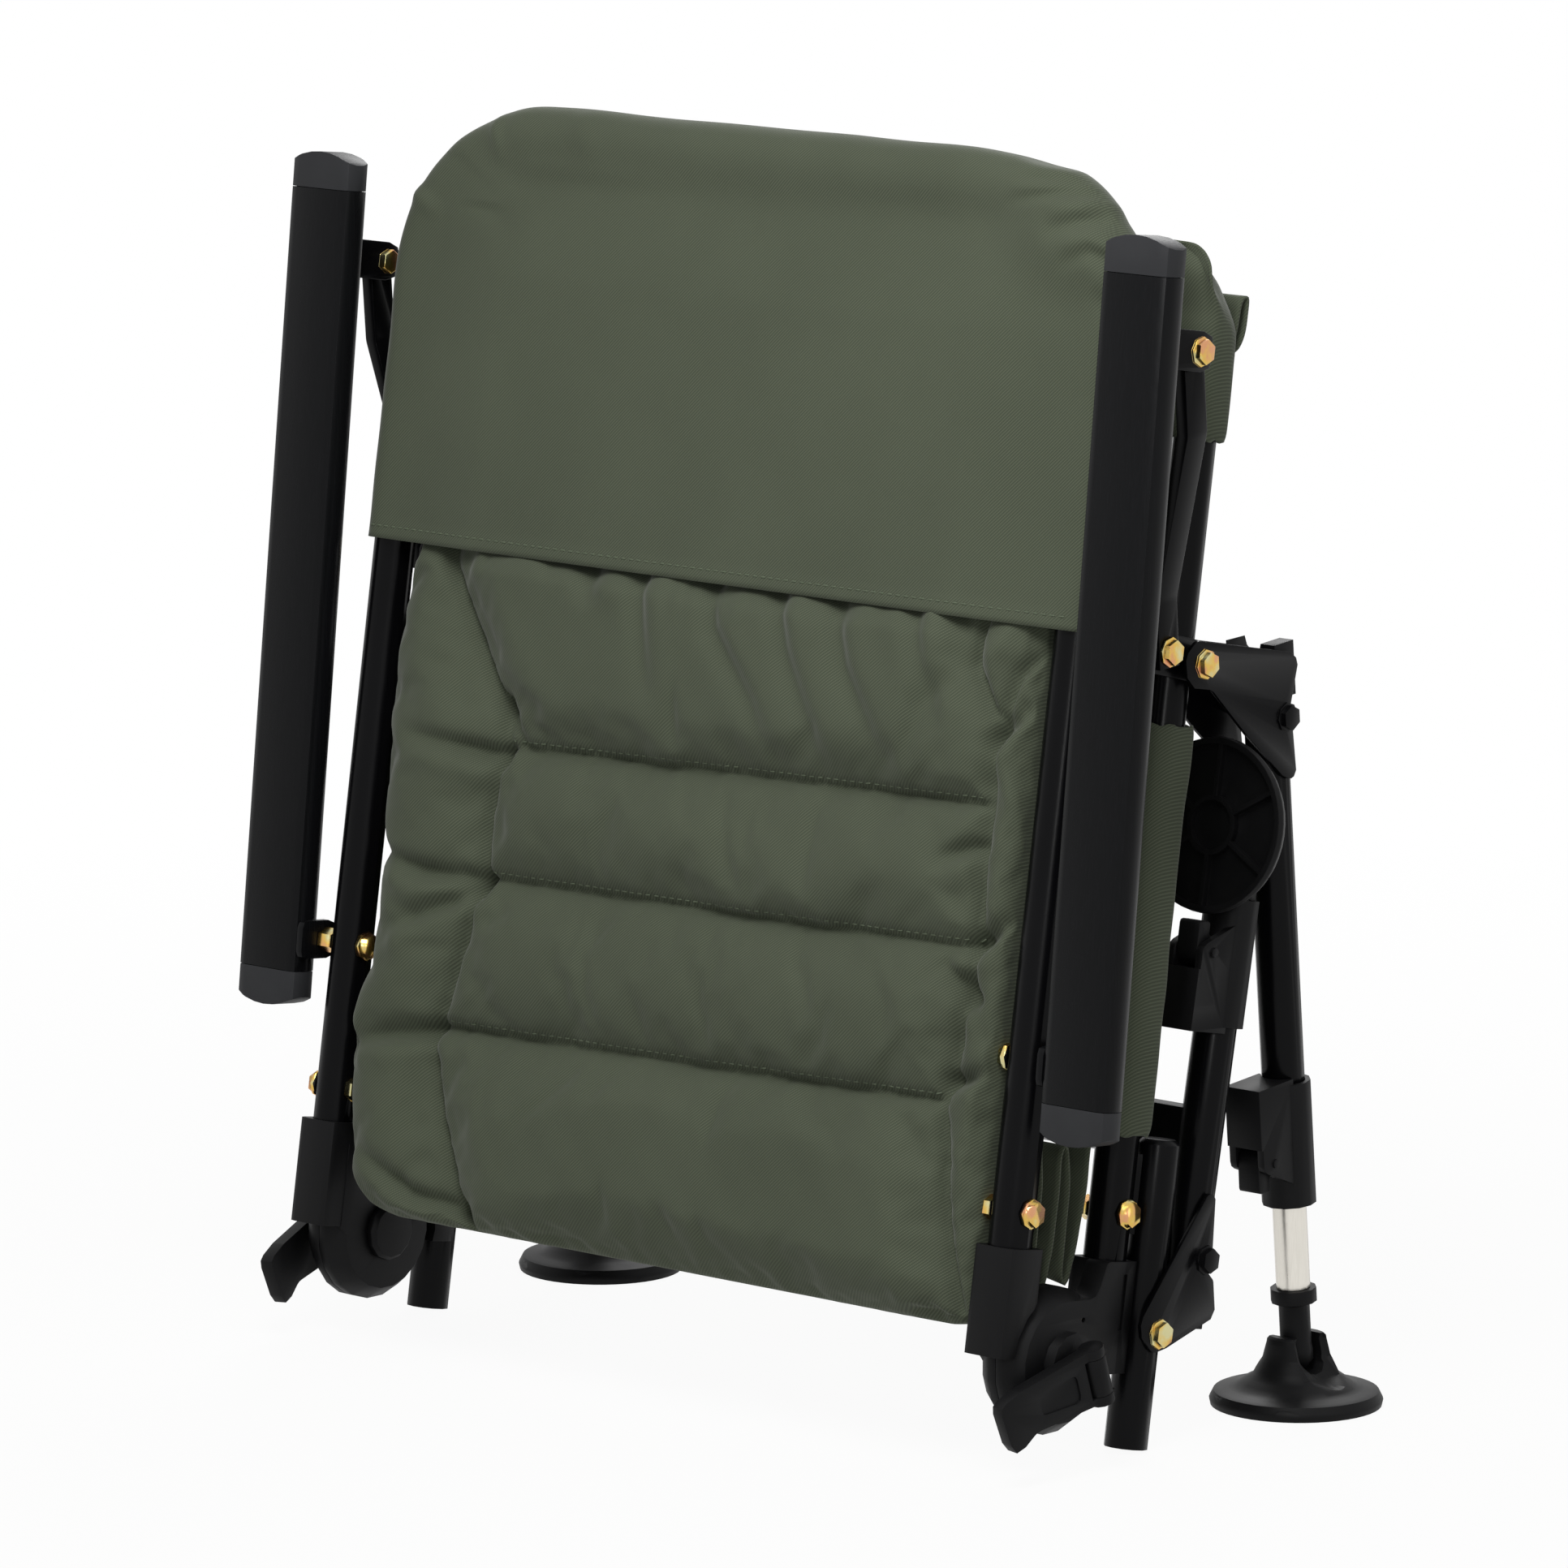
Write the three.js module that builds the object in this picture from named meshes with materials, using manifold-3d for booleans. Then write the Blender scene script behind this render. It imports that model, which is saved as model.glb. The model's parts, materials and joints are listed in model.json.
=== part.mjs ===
// A folding fishing chair, folded flat and standing as an easel on two stub ends and two mud feet.
// Millimetres, +X to the sitter's left, +Y to the back, +Z up. Every size is a named value.
import * as THREE from "three";
import { mergeVertices } from "three/addons/utils/BufferGeometryUtils.js";
import Module from "manifold-3d";

const wasm = await Module();
wasm.setup();

// Angles
const degree = Math.PI / 180;
const quarterTurn = 90 * degree;
const chairLean = 9.34 * degree; // the folded seat and backrest lean back together
const frontLegAngle = 14.4 * degree; // folded front legs, measured from the seat tubes
const rearLegAngle = 2 * degree; // folded rear legs, measured from the stubs
const armrestAngle = 3.1 * degree; // folded armrests, measured from the backrest tubes

// Facets
const tubeSides = 12;
const boltSides = 8;
const hexSides = 6;
const smallSides = 8;
const discSides = 20;
const footSides = 16;
const bendSteps = 4;
const filletSteps = 2;
const arcSteps = 4;
const bracketSteps = 1;
const armCornerSteps = 2;
const padColumns = 8;
const padRows = 10;

// Clearances
const gap = 0.3; // between neighbours that touch
const boltGap = 0.25; // round a bolt in its hole
const overrun = 4; // how far a cut runs past what it cuts
const weld = 0.5; // how deep a part of one piece sinks into another part of it
const mergeTolerance = 0.0005;

// Round tubes
const tubeRadius = 11;
const tubeWall = 1.3;
const seatTubeX = 229;
const seatLength = 588; // front crossbar's axis, along the seat tubes from floor level
const seatBend = 55;
const backOffset = -75; // backrest tubes ahead of the seat tubes
const backLength = 620;
const backBend = 70;
const sleeveBore = tubeRadius + gap;

// Bolts
const boltRadius = 3;
const headRadius = 6.4;
const headHeight = 4.2;
const washerRadius = 7.6;
const washerThickness = 1.2;
const frameBoltHeight = 122.5; // bolts above both sleeves

// Stubs that the folded chair stands on
const stubOffset = 21.6;
const stubX = seatTubeX + 9;
const stubTop = 160;
const stubFoot = (stubOffset + tubeRadius) * Math.tan(chairLean); // its lowest edge is on the floor
const stubCap = 2.5;
const weldBeadRadius = 4;
const weldBeadLow = 112;
const weldBeadHigh = 152;

// Recline hinge
const hingeOffset = -40;
const hingeHeight = 49;
const discRadius = 37;
const discFace = 30.5;
const hingeMiddle = seatTubeX + 0.5;
const halfThickness = 13.5;
const sleeveHalfWidth = 12.6;
const sleeveHalfDepth = 12.8;
const sleeveCorner = 4;
const webCorner = 3;
const webFillet = 8;
const discStepShare = 0.35;
const backSleeveFoot = 51;
const backSleeveTop = 105;
const seatSleeveFoot = 43;
const seatSleeveTop = 99;
const axleRadius = 6;
const axleHeadRadius = 15.5;
const axleHeadHeight = 5;
const axleHeadDome = 2;
const sleeveSlotWidth = 5;
const sleeveSlotLength = 28;
const sleeveSlotDepth = 1.6;
const faceHoleRadius = 1.4;
const faceHoleDepth = 3;
const faceHoleCircle = 24;

// Recline lever
const leverOffset = -34;
const leverHeight = 46;
const leverOutboard = 30;
const leverX = seatTubeX + leverOutboard;
const leverTurn = 27.5 * degree;
const leverToeIn = 10 * degree;
const barrelRadius = 6.5;
const barrelHalf = 10;
const leverFlange = 5;
const leverReach = 66;
const leverHalfWidth = barrelHalf + gap + leverFlange;
const leverThickness = 7;
const leverPinRadius = 2.2;
const leverHeel = 4;
// Along the paddle in shares of its reach, then across it and its corner in shares of its half width.
const paddleShares = [
  [-0.75, 1, 0.39],
  [-0.97, 0.85, 0.33],
  [-0.93, -1.1, 0.39],
  [-0.68, -0.62, 0.52],
];
const recessShares = [
  [-0.22, -0.5, 0.2],
  [-0.22, 0.5, 0.2],
  [-0.6, 0.5, 0.2],
  [-0.6, -0.2, 0.2],
];
const bossRadius = 16;
const bossHeight = 6;

// Armrests and their linkage
const armWidth = 42;
const armThickness = 17;
const armCorner = 6;
const armWall = 1.6;
const armX = 272;
const armPivotOffset = -76;
const armPivotHeight = 197;
const armCentreOffset = -9.5; // armrest tube ahead of its rear pivot
const armBelowPivot = 17;
const armLength = 405;
const capLength = 19;
const capPlug = 14;
const linkReach = 353;
const linkDrop = 10;
const lugThickness = 3;
const lugRadius = 10;
const lugNose = 8;
const lugHeelCorner = 4;
const lugNoseCorner = 6;
const armBracketGap = 9.6;
const armBracketCorner = 9;
const strutWidth = 15;
const strutThickness = 7;
const strutOutboard = 19.4;
const strutX = seatTubeX + strutOutboard;
const strutStraight = 26;
const strutTopStraight = 41.6;
const strutBend = 14;

// Anchor plate between the seat tube and the strut
const anchorThickness = 3;
const anchorRadius = 10.5;
const anchorCorner = 8.4;

// Folding legs
const legX = stubX;
const legRadius = 11;
const legWall = 1.2;
const plateThickness = 2;
const frontPivotHeight = 397.2;
const frontLegOffset = 61;
const frontTubeTop = -31; // from the pivot, along the leg
const frontTubeLength = 257;
const rearPivotHeight = 64.1;
const rearLegOffset = 29.4;
const rearTubeTop = -26;
const rearTubeLength = 187;
const frontInsideX = seatTubeX - tubeRadius - gap;
const outsideX = legX + legRadius + gap;
const rearInsideX = legX - legRadius - gap;
const bracketSpan = 70;
const frontPlateShares = [
  [-0.2, -0.13, 0.1],
  [-0.21, 0.1, 0.06],
  [-0.07, 0.185, 0.05],
  [0.957, -0.115, 0.03],
  [1.04, -0.19, 0.05],
  [0.93, -0.49, 0.03],
  [0.957, -1.01, 0.04],
  [0.886, -1.03, 0.03],
  [0.8, -0.985, 0.05],
  [0.414, -0.6, 0.1],
  [0.06, -0.2, 0.08],
];
const rearPlateShares = [
  [-0.36, -1.02, 0.03],
  [-0.44, -1, 0.03],
  [-0.5, -0.5, 0.02],
  [-0.46, -0.457, 0.02],
  [-0.54, -0.4, 0.03],
  [-0.614, -0.143, 0.06],
];
const rearOuterEndShares = [
  [-0.1, 0.1, 0.08],
  [0.043, 0.143, 0.06],
  [0.229, 0, 0.08],
  [0.2, -0.12, 0.06],
];
const rearInnerEndShares = [
  [-0.1, 0.08, 0.06],
  [0.02, 0.115, 0.04],
  [0.11, 0.02, 0.04],
  [0.09, -0.06, 0.03],
];
const frontRivetDrop = 40;
const rearRivetDrop = 38;
const frontLanding = 92.4 * degree; // leg angle at which its clip lands on the seat tube
const rearLanding = 96 * degree; // and on the stub
const clipDepth = 15;
const clipJaw = 3; // top of the clip's jaws, below the pivot
const crossbarHeight = 30;
const crossbarDepth = 14;
const crossbarCorner = 6.5;
const frontCrossbarAt = 57;
const rearCrossbarAt = 72;

// Clamp on the open end of each outer leg tube
const clampRadius = 13.9;
const clampLength = 64;
const clampLip = 5;
const blockWidth = 22;
const blockReach = 33;
const blockLength = 31;
const blockRise = 3;
const cheekThickness = 4;
const cheekLength = 23;
const cheekCorner = 5;
const cheekRootShare = 0.6;
const clampLeverRadius = 8.5;
const clampLeverLength = 15;
const clampLeverTip = 2;
const clampScrewRadius = 2.5;
const clampScrewHead = 1;

// Sliding inner leg and mud foot
const innerRadius = 8.75;
const innerWall = 1.4;
const rearInnerShown = 5;
const innerHidden = 150;
const collarRadius = 11.8;
const collarHeight = 8.5;
const neckRadius = 8;
const neckHeight = 22;
const ballRadius = 9;
const ballShares = [
  [0.6, -0.8],
  [0.95, -0.3],
  [0.95, 0.3],
];
const ballNeckShare = 0.5;
const plugLength = 18;
const footPinHeight = 26;
const footPinRadius = 2.5;
const footRockGap = 1.1; // lets the foot rock a little on its pin
const footRadius = 43.5;
const footRim = 6;
const footWall = 3;
const footCeiling = 4.5;
const earTop = 36;
const earRadius = 15.5;
const footRibs = 6;
const ribThickness = 2.4;
const ribDrop = 0.8; // ribs stop short of the floor
const hubOuter = 15;
const hubInner = 12.4;
// The dome's outline, outwards in shares of the foot's radius and up in shares of its rim.
const domeShares = [
  [0.72, 1.6],
  [0.5, 2.7],
  [0.4, 4.2],
];
const scoopShare = 0.52;
const scoopOutShare = 0.62;
const scoopRise = 7.2;
const scoopSides = 12;

// Soft parts
const clothGap = 0.6;
const sleeveThickness = 2.4;
const sideSleeveLow = 163;
const sideSleeveHigh = 364;
const pocketLow = 508;
const slingThickness = 2.6;
const backPadHalfWidth = 212;
const seatPadHalfWidth = 205;
const backPadLow = 57;
const backPadHigh = 424;
const backPadFront = -99;
const backPadBack = -54;
const seatPadLow = 80;
const seatPadHigh = 560;
const seatPadFront = -51;
const seatPadBack = -15;
const channelDepth = 6;
const channelHalfWidth = 12;
const padPillow = 9; // how far a pad's ends draw in
const padEdgeShare = 0.28;
const padSidePower = 6;
const padEndPower = 10;
const padWaistPower = 8;
const hoodLow = 425;
const hoodRise = 16; // hood's crown above the frame's top tube
const hoodTop = backLength + hoodRise;
const hoodCrown = 61;
const hoodFront = -94;
const hoodBack = -54;
const hoodHalfWidthLow = 244;
const hoodHalfWidthTop = 196;
const hoodTaperShare = 0.2;
const hoodCornerShare = 0.25;
const hoodArchShare = 0.17;
const hoodWall = 14;
const seamShares = [0.185, 0.44, 0.71];

// Colours
const enamelBlack = 0x141416;
const satinBlack = 0x212123;
const plasticBlack = 0x2a2a2b;
const capGrey = 0x37373a;
const brushedMetal = 0xc9c5bc;
const olive = 0x47523f;

function finish(colour, roughness, metalness) {
  return new THREE.MeshStandardMaterial({ color: colour, roughness, metalness });
}

const enamel = () => finish(enamelBlack, 0.3, 0);
const satin = () => finish(satinBlack, 0.45, 0);
const plastic = () => finish(plasticBlack, 0.6, 0);
const capPlastic = () => finish(capGrey, 0.65, 0);
const aluminium = () => finish(brushedMetal, 0.35, 1);
const cloth = () => finish(olive, 0.95, 0);

// Keeps only the positions of a geometry and joins its doubled vertices.
function welded(geometry) {
  const bare = geometry.clone();
  bare.deleteAttribute("normal");
  bare.deleteAttribute("uv");
  return mergeVertices(bare, mergeTolerance);
}

function solid(geometry) {
  const vertProperties = new Float32Array(geometry.attributes.position.array);
  const triVerts = new Uint32Array(geometry.index.array);
  return new wasm.Manifold(new wasm.Mesh({ numProp: 3, vertProperties, triVerts }));
}

function geometryOf(manifold) {
  const { vertProperties, triVerts } = manifold.getMesh();
  const geometry = new THREE.BufferGeometry();
  geometry.setAttribute("position", new THREE.BufferAttribute(new Float32Array(vertProperties), 3));
  geometry.setIndex(new THREE.BufferAttribute(new Uint32Array(triVerts), 1));
  return geometry;
}

function union(first, ...others) {
  return geometryOf(others.reduce((sum, next) => sum.add(solid(next)), solid(first)));
}

function cut(first, ...tools) {
  return geometryOf(tools.reduce((rest, tool) => rest.subtract(solid(tool)), solid(first)));
}

function common(first, second) {
  return geometryOf(solid(first).intersect(solid(second)));
}

// A closed outline with a round of the given radius at each corner: [across, up, radius].
function outline(corners) {
  const shape = new THREE.Shape();
  const points = corners.map(([across, up]) => new THREE.Vector2(across, up));
  points.forEach((here, index) => {
    const radius = corners[index][2] || 0;
    const back = points.at(index - 1).clone().sub(here).normalize();
    const ahead = points[(index + 1) % points.length].clone().sub(here).normalize();
    const reach = radius / Math.tan(Math.acos(back.dot(ahead)) / 2);
    const start = here.clone().addScaledVector(back, reach);
    const end = here.clone().addScaledVector(ahead, reach);
    if (index === 0) shape.moveTo(start.x, start.y);
    else shape.lineTo(start.x, start.y);
    if (radius > 0) shape.quadraticCurveTo(here.x, here.y, end.x, end.y);
  });
  shape.closePath();
  return shape;
}

// Turns a table of shares into sizes.
function sized(shares, size) {
  return shares.map((row) => row.map((share) => share * size));
}

function circle(radius, across = 0, up = 0) {
  return new THREE.Shape().absarc(across, up, radius, 0, 2 * Math.PI);
}

function rectangle(halfAcross, halfUp, radius) {
  return outline([
    [-halfAcross, -halfUp, radius],
    [halfAcross, -halfUp, radius],
    [halfAcross, halfUp, radius],
    [-halfAcross, halfUp, radius],
  ]);
}

// Turns a shape drawn in (Y, Z) and extruded upwards so that it is extruded along X.
const alongX = new THREE.Matrix4().makeBasis(
  new THREE.Vector3(0, 1, 0),
  new THREE.Vector3(0, 0, 1),
  new THREE.Vector3(1, 0, 0),
);

function plate(shape, fromX, toX, curveSegments = filletSteps) {
  const options = { depth: toX - fromX, bevelEnabled: false, curveSegments };
  const geometry = welded(new THREE.ExtrudeGeometry(shape, options));
  return geometry.applyMatrix4(alongX).translate(fromX, 0, 0);
}

function upright(shape, fromZ, toZ, curveSegments = filletSteps) {
  const options = { depth: toZ - fromZ, bevelEnabled: false, curveSegments };
  return welded(new THREE.ExtrudeGeometry(shape, options)).translate(0, 0, fromZ);
}

function rodX(radius, fromX, toX, y, z, sides = boltSides) {
  const geometry = welded(new THREE.CylinderGeometry(radius, radius, toX - fromX, sides));
  return geometry.rotateZ(-quarterTurn).translate((fromX + toX) / 2, y, z);
}

function rodY(radius, fromY, toY, x, z, sides = boltSides) {
  const geometry = welded(new THREE.CylinderGeometry(radius, radius, toY - fromY, sides));
  return geometry.translate(x, (fromY + toY) / 2, z);
}

function rodZ(radius, fromZ, toZ, x, y, sides = tubeSides) {
  const geometry = welded(new THREE.CylinderGeometry(radius, radius, toZ - fromZ, sides));
  return geometry.rotateX(quarterTurn).translate(x, y, (fromZ + toZ) / 2);
}

function box(fromX, toX, fromY, toY, fromZ, toZ) {
  const geometry = welded(new THREE.BoxGeometry(toX - fromX, toY - fromY, toZ - fromZ));
  return geometry.translate((fromX + toX) / 2, (fromY + toY) / 2, (fromZ + toZ) / 2);
}

// A turned body about Z from a list of [radius, height] going up the outside.
function turned(profile, sides = tubeSides) {
  const points = profile.map(([radius, height]) => new THREE.Vector2(radius, height));
  return welded(new THREE.LatheGeometry(points, sides)).rotateX(quarterTurn);
}

// The centre line of a bent tube: straight runs between corners, each corner on an arc.
class BentPath extends THREE.Curve {
  constructor(corners, bendRadius) {
    super();
    this.stations = [];
    corners.forEach((corner, index) => this.addCorner(corners, corner, index, bendRadius));
  }

  addCorner(corners, corner, index, bendRadius) {
    const back = index > 0 ? corners[index - 1].clone().sub(corner).normalize() : null;
    const ahead = index < corners.length - 1 ? corners[index + 1].clone().sub(corner).normalize() : null;
    if (!back || !ahead) {
      const tangent = ahead ? ahead : back.clone().negate();
      this.stations.push({ point: corner, tangent });
      return;
    }
    const halfAngle = Math.acos(back.dot(ahead)) / 2;
    const middle = back.clone().add(ahead).normalize();
    const centre = corner.clone().addScaledVector(middle, bendRadius / Math.sin(halfAngle));
    const axis = ahead.clone().cross(back).normalize();
    const turn = Math.PI - 2 * halfAngle;
    const start = corner.clone().addScaledVector(back, bendRadius / Math.tan(halfAngle)).sub(centre);
    for (let step = 0; step <= bendSteps; step += 1) {
      const angle = (turn * step) / bendSteps;
      const point = start.clone().applyAxisAngle(axis, angle).add(centre);
      const tangent = back.clone().negate().applyAxisAngle(axis, angle);
      this.stations.push({ point, tangent });
    }
  }

  station(share) {
    return this.stations[Math.round(share * (this.stations.length - 1))];
  }

  getPoint(share, target = new THREE.Vector3()) {
    return target.copy(this.station(share).point);
  }

  getPointAt(share, target) {
    return this.getPoint(share, target);
  }

  getTangentAt(share, target = new THREE.Vector3()) {
    return target.copy(this.station(share).tangent);
  }
}

function bentTube(corners, bendRadius, outer, inner = 0) {
  const path = new BentPath(corners, bendRadius);
  const shape = circle(outer);
  if (inner > 0) shape.holes.push(circle(inner));
  const steps = path.stations.length - 1;
  const options = { steps, extrudePath: path, curveSegments: tubeSides / 2 };
  return welded(new THREE.ExtrudeGeometry(shape, options));
}

// A hole across a tube for such a bolt.
function boltHole(x, y, z) {
  return rodX(boltRadius + boltGap, x - 2 * tubeRadius, x + 2 * tubeRadius, y, z);
}

// A through bolt along X: its nut is inside at fromX, its washer and head outside at toX.
function throughBolt(fromX, toX, y, z) {
  return union(
    rodX(boltRadius, fromX - headHeight, toX + headHeight, y, z),
    rodX(washerRadius, toX - weld, toX + washerThickness, y, z),
    rodX(headRadius, toX + washerThickness - weld, toX + headHeight, y, z, hexSides),
    rodX(headRadius, fromX - headHeight, fromX + weld, y, z, hexSides),
  );
}

// The groups: the chair stands still, and the stack leans back in it.
const chair = new THREE.Group();
const stack = new THREE.Group();
stack.rotation.x = -chairLean;
chair.add(stack);

function add(parent, name, geometry, material) {
  const mesh = new THREE.Mesh(geometry, material);
  mesh.name = name;
  parent.add(mesh);
  return mesh;
}

// The same piece on both sides, the right one mirrored across the middle of the chair.
function addPair(parent, name, geometry, material) {
  add(parent, `${name}_left`, geometry, material());
  add(parent, `${name}_right`, geometry, material()).scale.x = -1;
}

const mirrorX = (geometry) => {
  const turnedOver = geometry.clone().scale(-1, 1, 1);
  const order = turnedOver.index.array;
  for (let first = 0; first < order.length; first += 3) {
    [order[first + 1], order[first + 2]] = [order[first + 2], order[first + 1]];
  }
  return turnedOver;
};

function bothSides(geometry) {
  return [geometry, mirrorX(geometry)];
}

// Seat frame, a U of round tube with drilled holes for the leg pivots.
function uCorners(halfWidth, offset, foot, top) {
  return [
    new THREE.Vector3(halfWidth, offset, foot),
    new THREE.Vector3(halfWidth, offset, top),
    new THREE.Vector3(-halfWidth, offset, top),
    new THREE.Vector3(-halfWidth, offset, foot),
  ];
}

// The frame tubes stop in their sleeves just above the other half of the hinge.
function tubeFoot(offset) {
  const across = Math.abs(offset - hingeOffset) - sleeveBore;
  return hingeHeight + Math.sqrt(discRadius ** 2 - across ** 2) + tubeWall;
}

function seatFrame() {
  const foot = tubeFoot(0);
  const corners = uCorners(seatTubeX, 0, foot, seatLength);
  const tube = bentTube(corners, seatBend, tubeRadius, tubeRadius - tubeWall);
  const hole = boltHole(seatTubeX, 0, frontPivotHeight);
  const bolt = throughBolt(seatTubeX - tubeRadius, seatTubeX + tubeRadius, 0, frameBoltHeight);
  return union(cut(tube, ...bothSides(hole)), ...bothSides(bolt));
}

function stub() {
  const body = rodZ(tubeRadius, stubFoot, stubTop - stubCap, stubX, stubOffset);
  const cap = turned([
    [0, stubTop - stubCap - weld],
    [tubeRadius, stubTop - stubCap - weld],
    [tubeRadius, stubTop - stubCap],
    [tubeRadius - stubCap, stubTop],
    [0, stubTop],
  ]).translate(stubX, stubOffset, 0);
  const hole = boltHole(stubX, stubOffset, rearPivotHeight);
  const bore = rodZ(tubeRadius - tubeWall, stubFoot - overrun, stubTop - 2 * stubCap, stubX, stubOffset);
  const beadPlace = [(seatTubeX + stubX) / 2, stubOffset / 2];
  const bead = rodZ(weldBeadRadius, weldBeadLow, weldBeadHigh, ...beadPlace, smallSides);
  const tubeRoom = rodZ(tubeRadius + gap, 0, stubTop, seatTubeX, 0);
  return cut(union(body, cap, bead), bore, hole, tubeRoom);
}

// Half of the recline hinge: a bevelled disc beside a sleeve for the frame tube.
function hingeDisc(innerX, outerX) {
  const thickness = Math.abs(outerX - innerX);
  const step = thickness * discStepShare;
  const disc = turned(
    [
      [0, 0],
      [discRadius, 0],
      [discRadius, step],
      [discFace, thickness],
      [0, thickness],
    ],
    discSides,
  );
  const facing = outerX > innerX ? quarterTurn : -quarterTurn;
  return disc.rotateY(facing).translate(innerX, hingeOffset, hingeHeight);
}

function sleeveBody(offset, foot, top) {
  const shape = outline([
    [seatTubeX - sleeveHalfWidth, offset - sleeveHalfDepth, sleeveCorner],
    [seatTubeX + sleeveHalfWidth, offset - sleeveHalfDepth, sleeveCorner],
    [seatTubeX + sleeveHalfWidth, offset + sleeveHalfDepth, sleeveCorner],
    [seatTubeX - sleeveHalfWidth, offset + sleeveHalfDepth, sleeveCorner],
  ]);
  return upright(shape, foot, top);
}

// Room in one half's sleeve for the other half's disc to turn in.
function otherDiscRoom(fromX, toX) {
  return rodX(discRadius + 2 * gap, fromX, toX, hingeOffset, hingeHeight, discSides);
}

function axleHole(fromX, toX) {
  return rodX(axleRadius + boltGap, fromX, toX, hingeOffset, hingeHeight, tubeSides);
}

function seatHinge() {
  const innerX = hingeMiddle + gap / 2;
  const outerX = innerX + halfThickness;
  const disc = hingeDisc(innerX, outerX);
  const sleeve = sleeveBody(0, seatSleeveFoot, seatSleeveTop);
  const web = plate(
    outline([
      [hingeOffset, hingeHeight - discFace],
      [-sleeveHalfDepth + weld, seatSleeveFoot],
      [0, seatSleeveFoot],
      [0, seatSleeveTop],
      [-2 * sleeveHalfDepth + tubeRadius, seatSleeveTop, webCorner],
      [-2 * sleeveHalfDepth + tubeRadius / 2, hingeHeight + discFace + tubeWall, webFillet],
      [hingeOffset, hingeHeight + discFace],
    ]),
    innerX,
    outerX,
  );
  const boss = rodX(bossRadius, outerX - weld, outerX + bossHeight, hingeOffset, hingeHeight, tubeSides);
  const post = plate(
    outline([
      [-barrelRadius, -barrelHalf],
      [barrelRadius, -barrelHalf],
      [barrelRadius, barrelHalf],
      [-barrelRadius, barrelHalf],
    ]),
    outerX - weld,
    leverX,
  );
  const barrel = rodZ(barrelRadius, -barrelHalf, barrelHalf, leverX, 0);
  const pinHole = rodZ(leverPinRadius + boltGap, -2 * barrelHalf, 2 * barrelHalf, leverX, 0, smallSides);
  const knuckle = cut(union(post, barrel), pinHole).rotateX(leverTurn).translate(0, leverOffset, leverHeight);
  const tubeBore = rodZ(sleeveBore, tubeFoot(0) - gap, seatSleeveTop + overrun, seatTubeX, 0);
  const axleBore = axleHole(innerX - overrun, outerX - 3 * tubeWall);
  const slotTop = seatSleeveTop - sleeveHalfDepth / 2;
  const slot = box(
    seatTubeX + sleeveHalfWidth - sleeveSlotDepth,
    seatTubeX + sleeveHalfWidth + overrun,
    -sleeveSlotWidth / 2 + tubeWall,
    sleeveSlotWidth / 2 + tubeWall,
    slotTop - sleeveSlotLength,
    slotTop,
  );
  const faceHole = rodX(
    faceHoleRadius,
    outerX - faceHoleDepth,
    outerX + overrun,
    hingeOffset + faceHoleCircle * Math.sin(leverTurn),
    hingeHeight + faceHoleCircle * Math.cos(leverTurn),
    smallSides,
  );
  const discRoom = otherDiscRoom(innerX - 2 * halfThickness, innerX);
  const stubRoom = rodZ(tubeRadius + gap, 0, stubTop, stubX, stubOffset);
  const body = union(disc, web, cut(sleeve, discRoom, stubRoom), boss, knuckle);
  return cut(body, tubeBore, axleBore, slot, faceHole);
}

function backHinge() {
  const outerX = hingeMiddle - gap / 2;
  const innerX = outerX - halfThickness;
  const disc = hingeDisc(outerX, innerX);
  const sleeve = sleeveBody(backOffset, backSleeveFoot, backSleeveTop);
  const clear = otherDiscRoom(hingeMiddle - gap / 2, seatTubeX + 2 * sleeveHalfWidth);
  const web = plate(
    outline([
      [hingeOffset, hingeHeight - discFace],
      [hingeOffset, hingeHeight + discFace],
      [backOffset + sleeveHalfDepth, backSleeveTop - 2 * tubeRadius, webFillet],
      [backOffset, backSleeveTop - tubeRadius],
      [backOffset, backSleeveFoot],
    ]),
    innerX,
    outerX,
  );
  const boreFoot = tubeFoot(backOffset) - gap;
  const tubeBore = rodZ(sleeveBore, boreFoot, backSleeveTop + overrun, seatTubeX, backOffset);
  const axleBore = axleHole(innerX - overrun, outerX + overrun);
  return cut(union(disc, web, cut(sleeve, clear)), tubeBore, axleBore);
}

function hingeAxle() {
  const faceX = hingeMiddle - gap / 2 - halfThickness - gap;
  const shankEnd = hingeMiddle + halfThickness - 4 * tubeWall;
  const shank = rodX(axleRadius, faceX - weld, shankEnd, hingeOffset, hingeHeight, tubeSides);
  const head = turned([
    [0, 0],
    [axleHeadRadius, 0],
    [axleHeadRadius, axleHeadHeight - axleHeadDome],
    [axleHeadRadius - axleHeadDome, axleHeadHeight],
    [0, axleHeadHeight],
  ]);
  const seated = head.rotateY(-quarterTurn).translate(faceX, hingeOffset, hingeHeight);
  return union(shank, seated);
}

function leverCorners(shares) {
  return shares.map(([along, across, corner]) => [
    along * leverReach,
    across * leverHalfWidth,
    corner * leverHalfWidth,
  ]);
}

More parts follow.
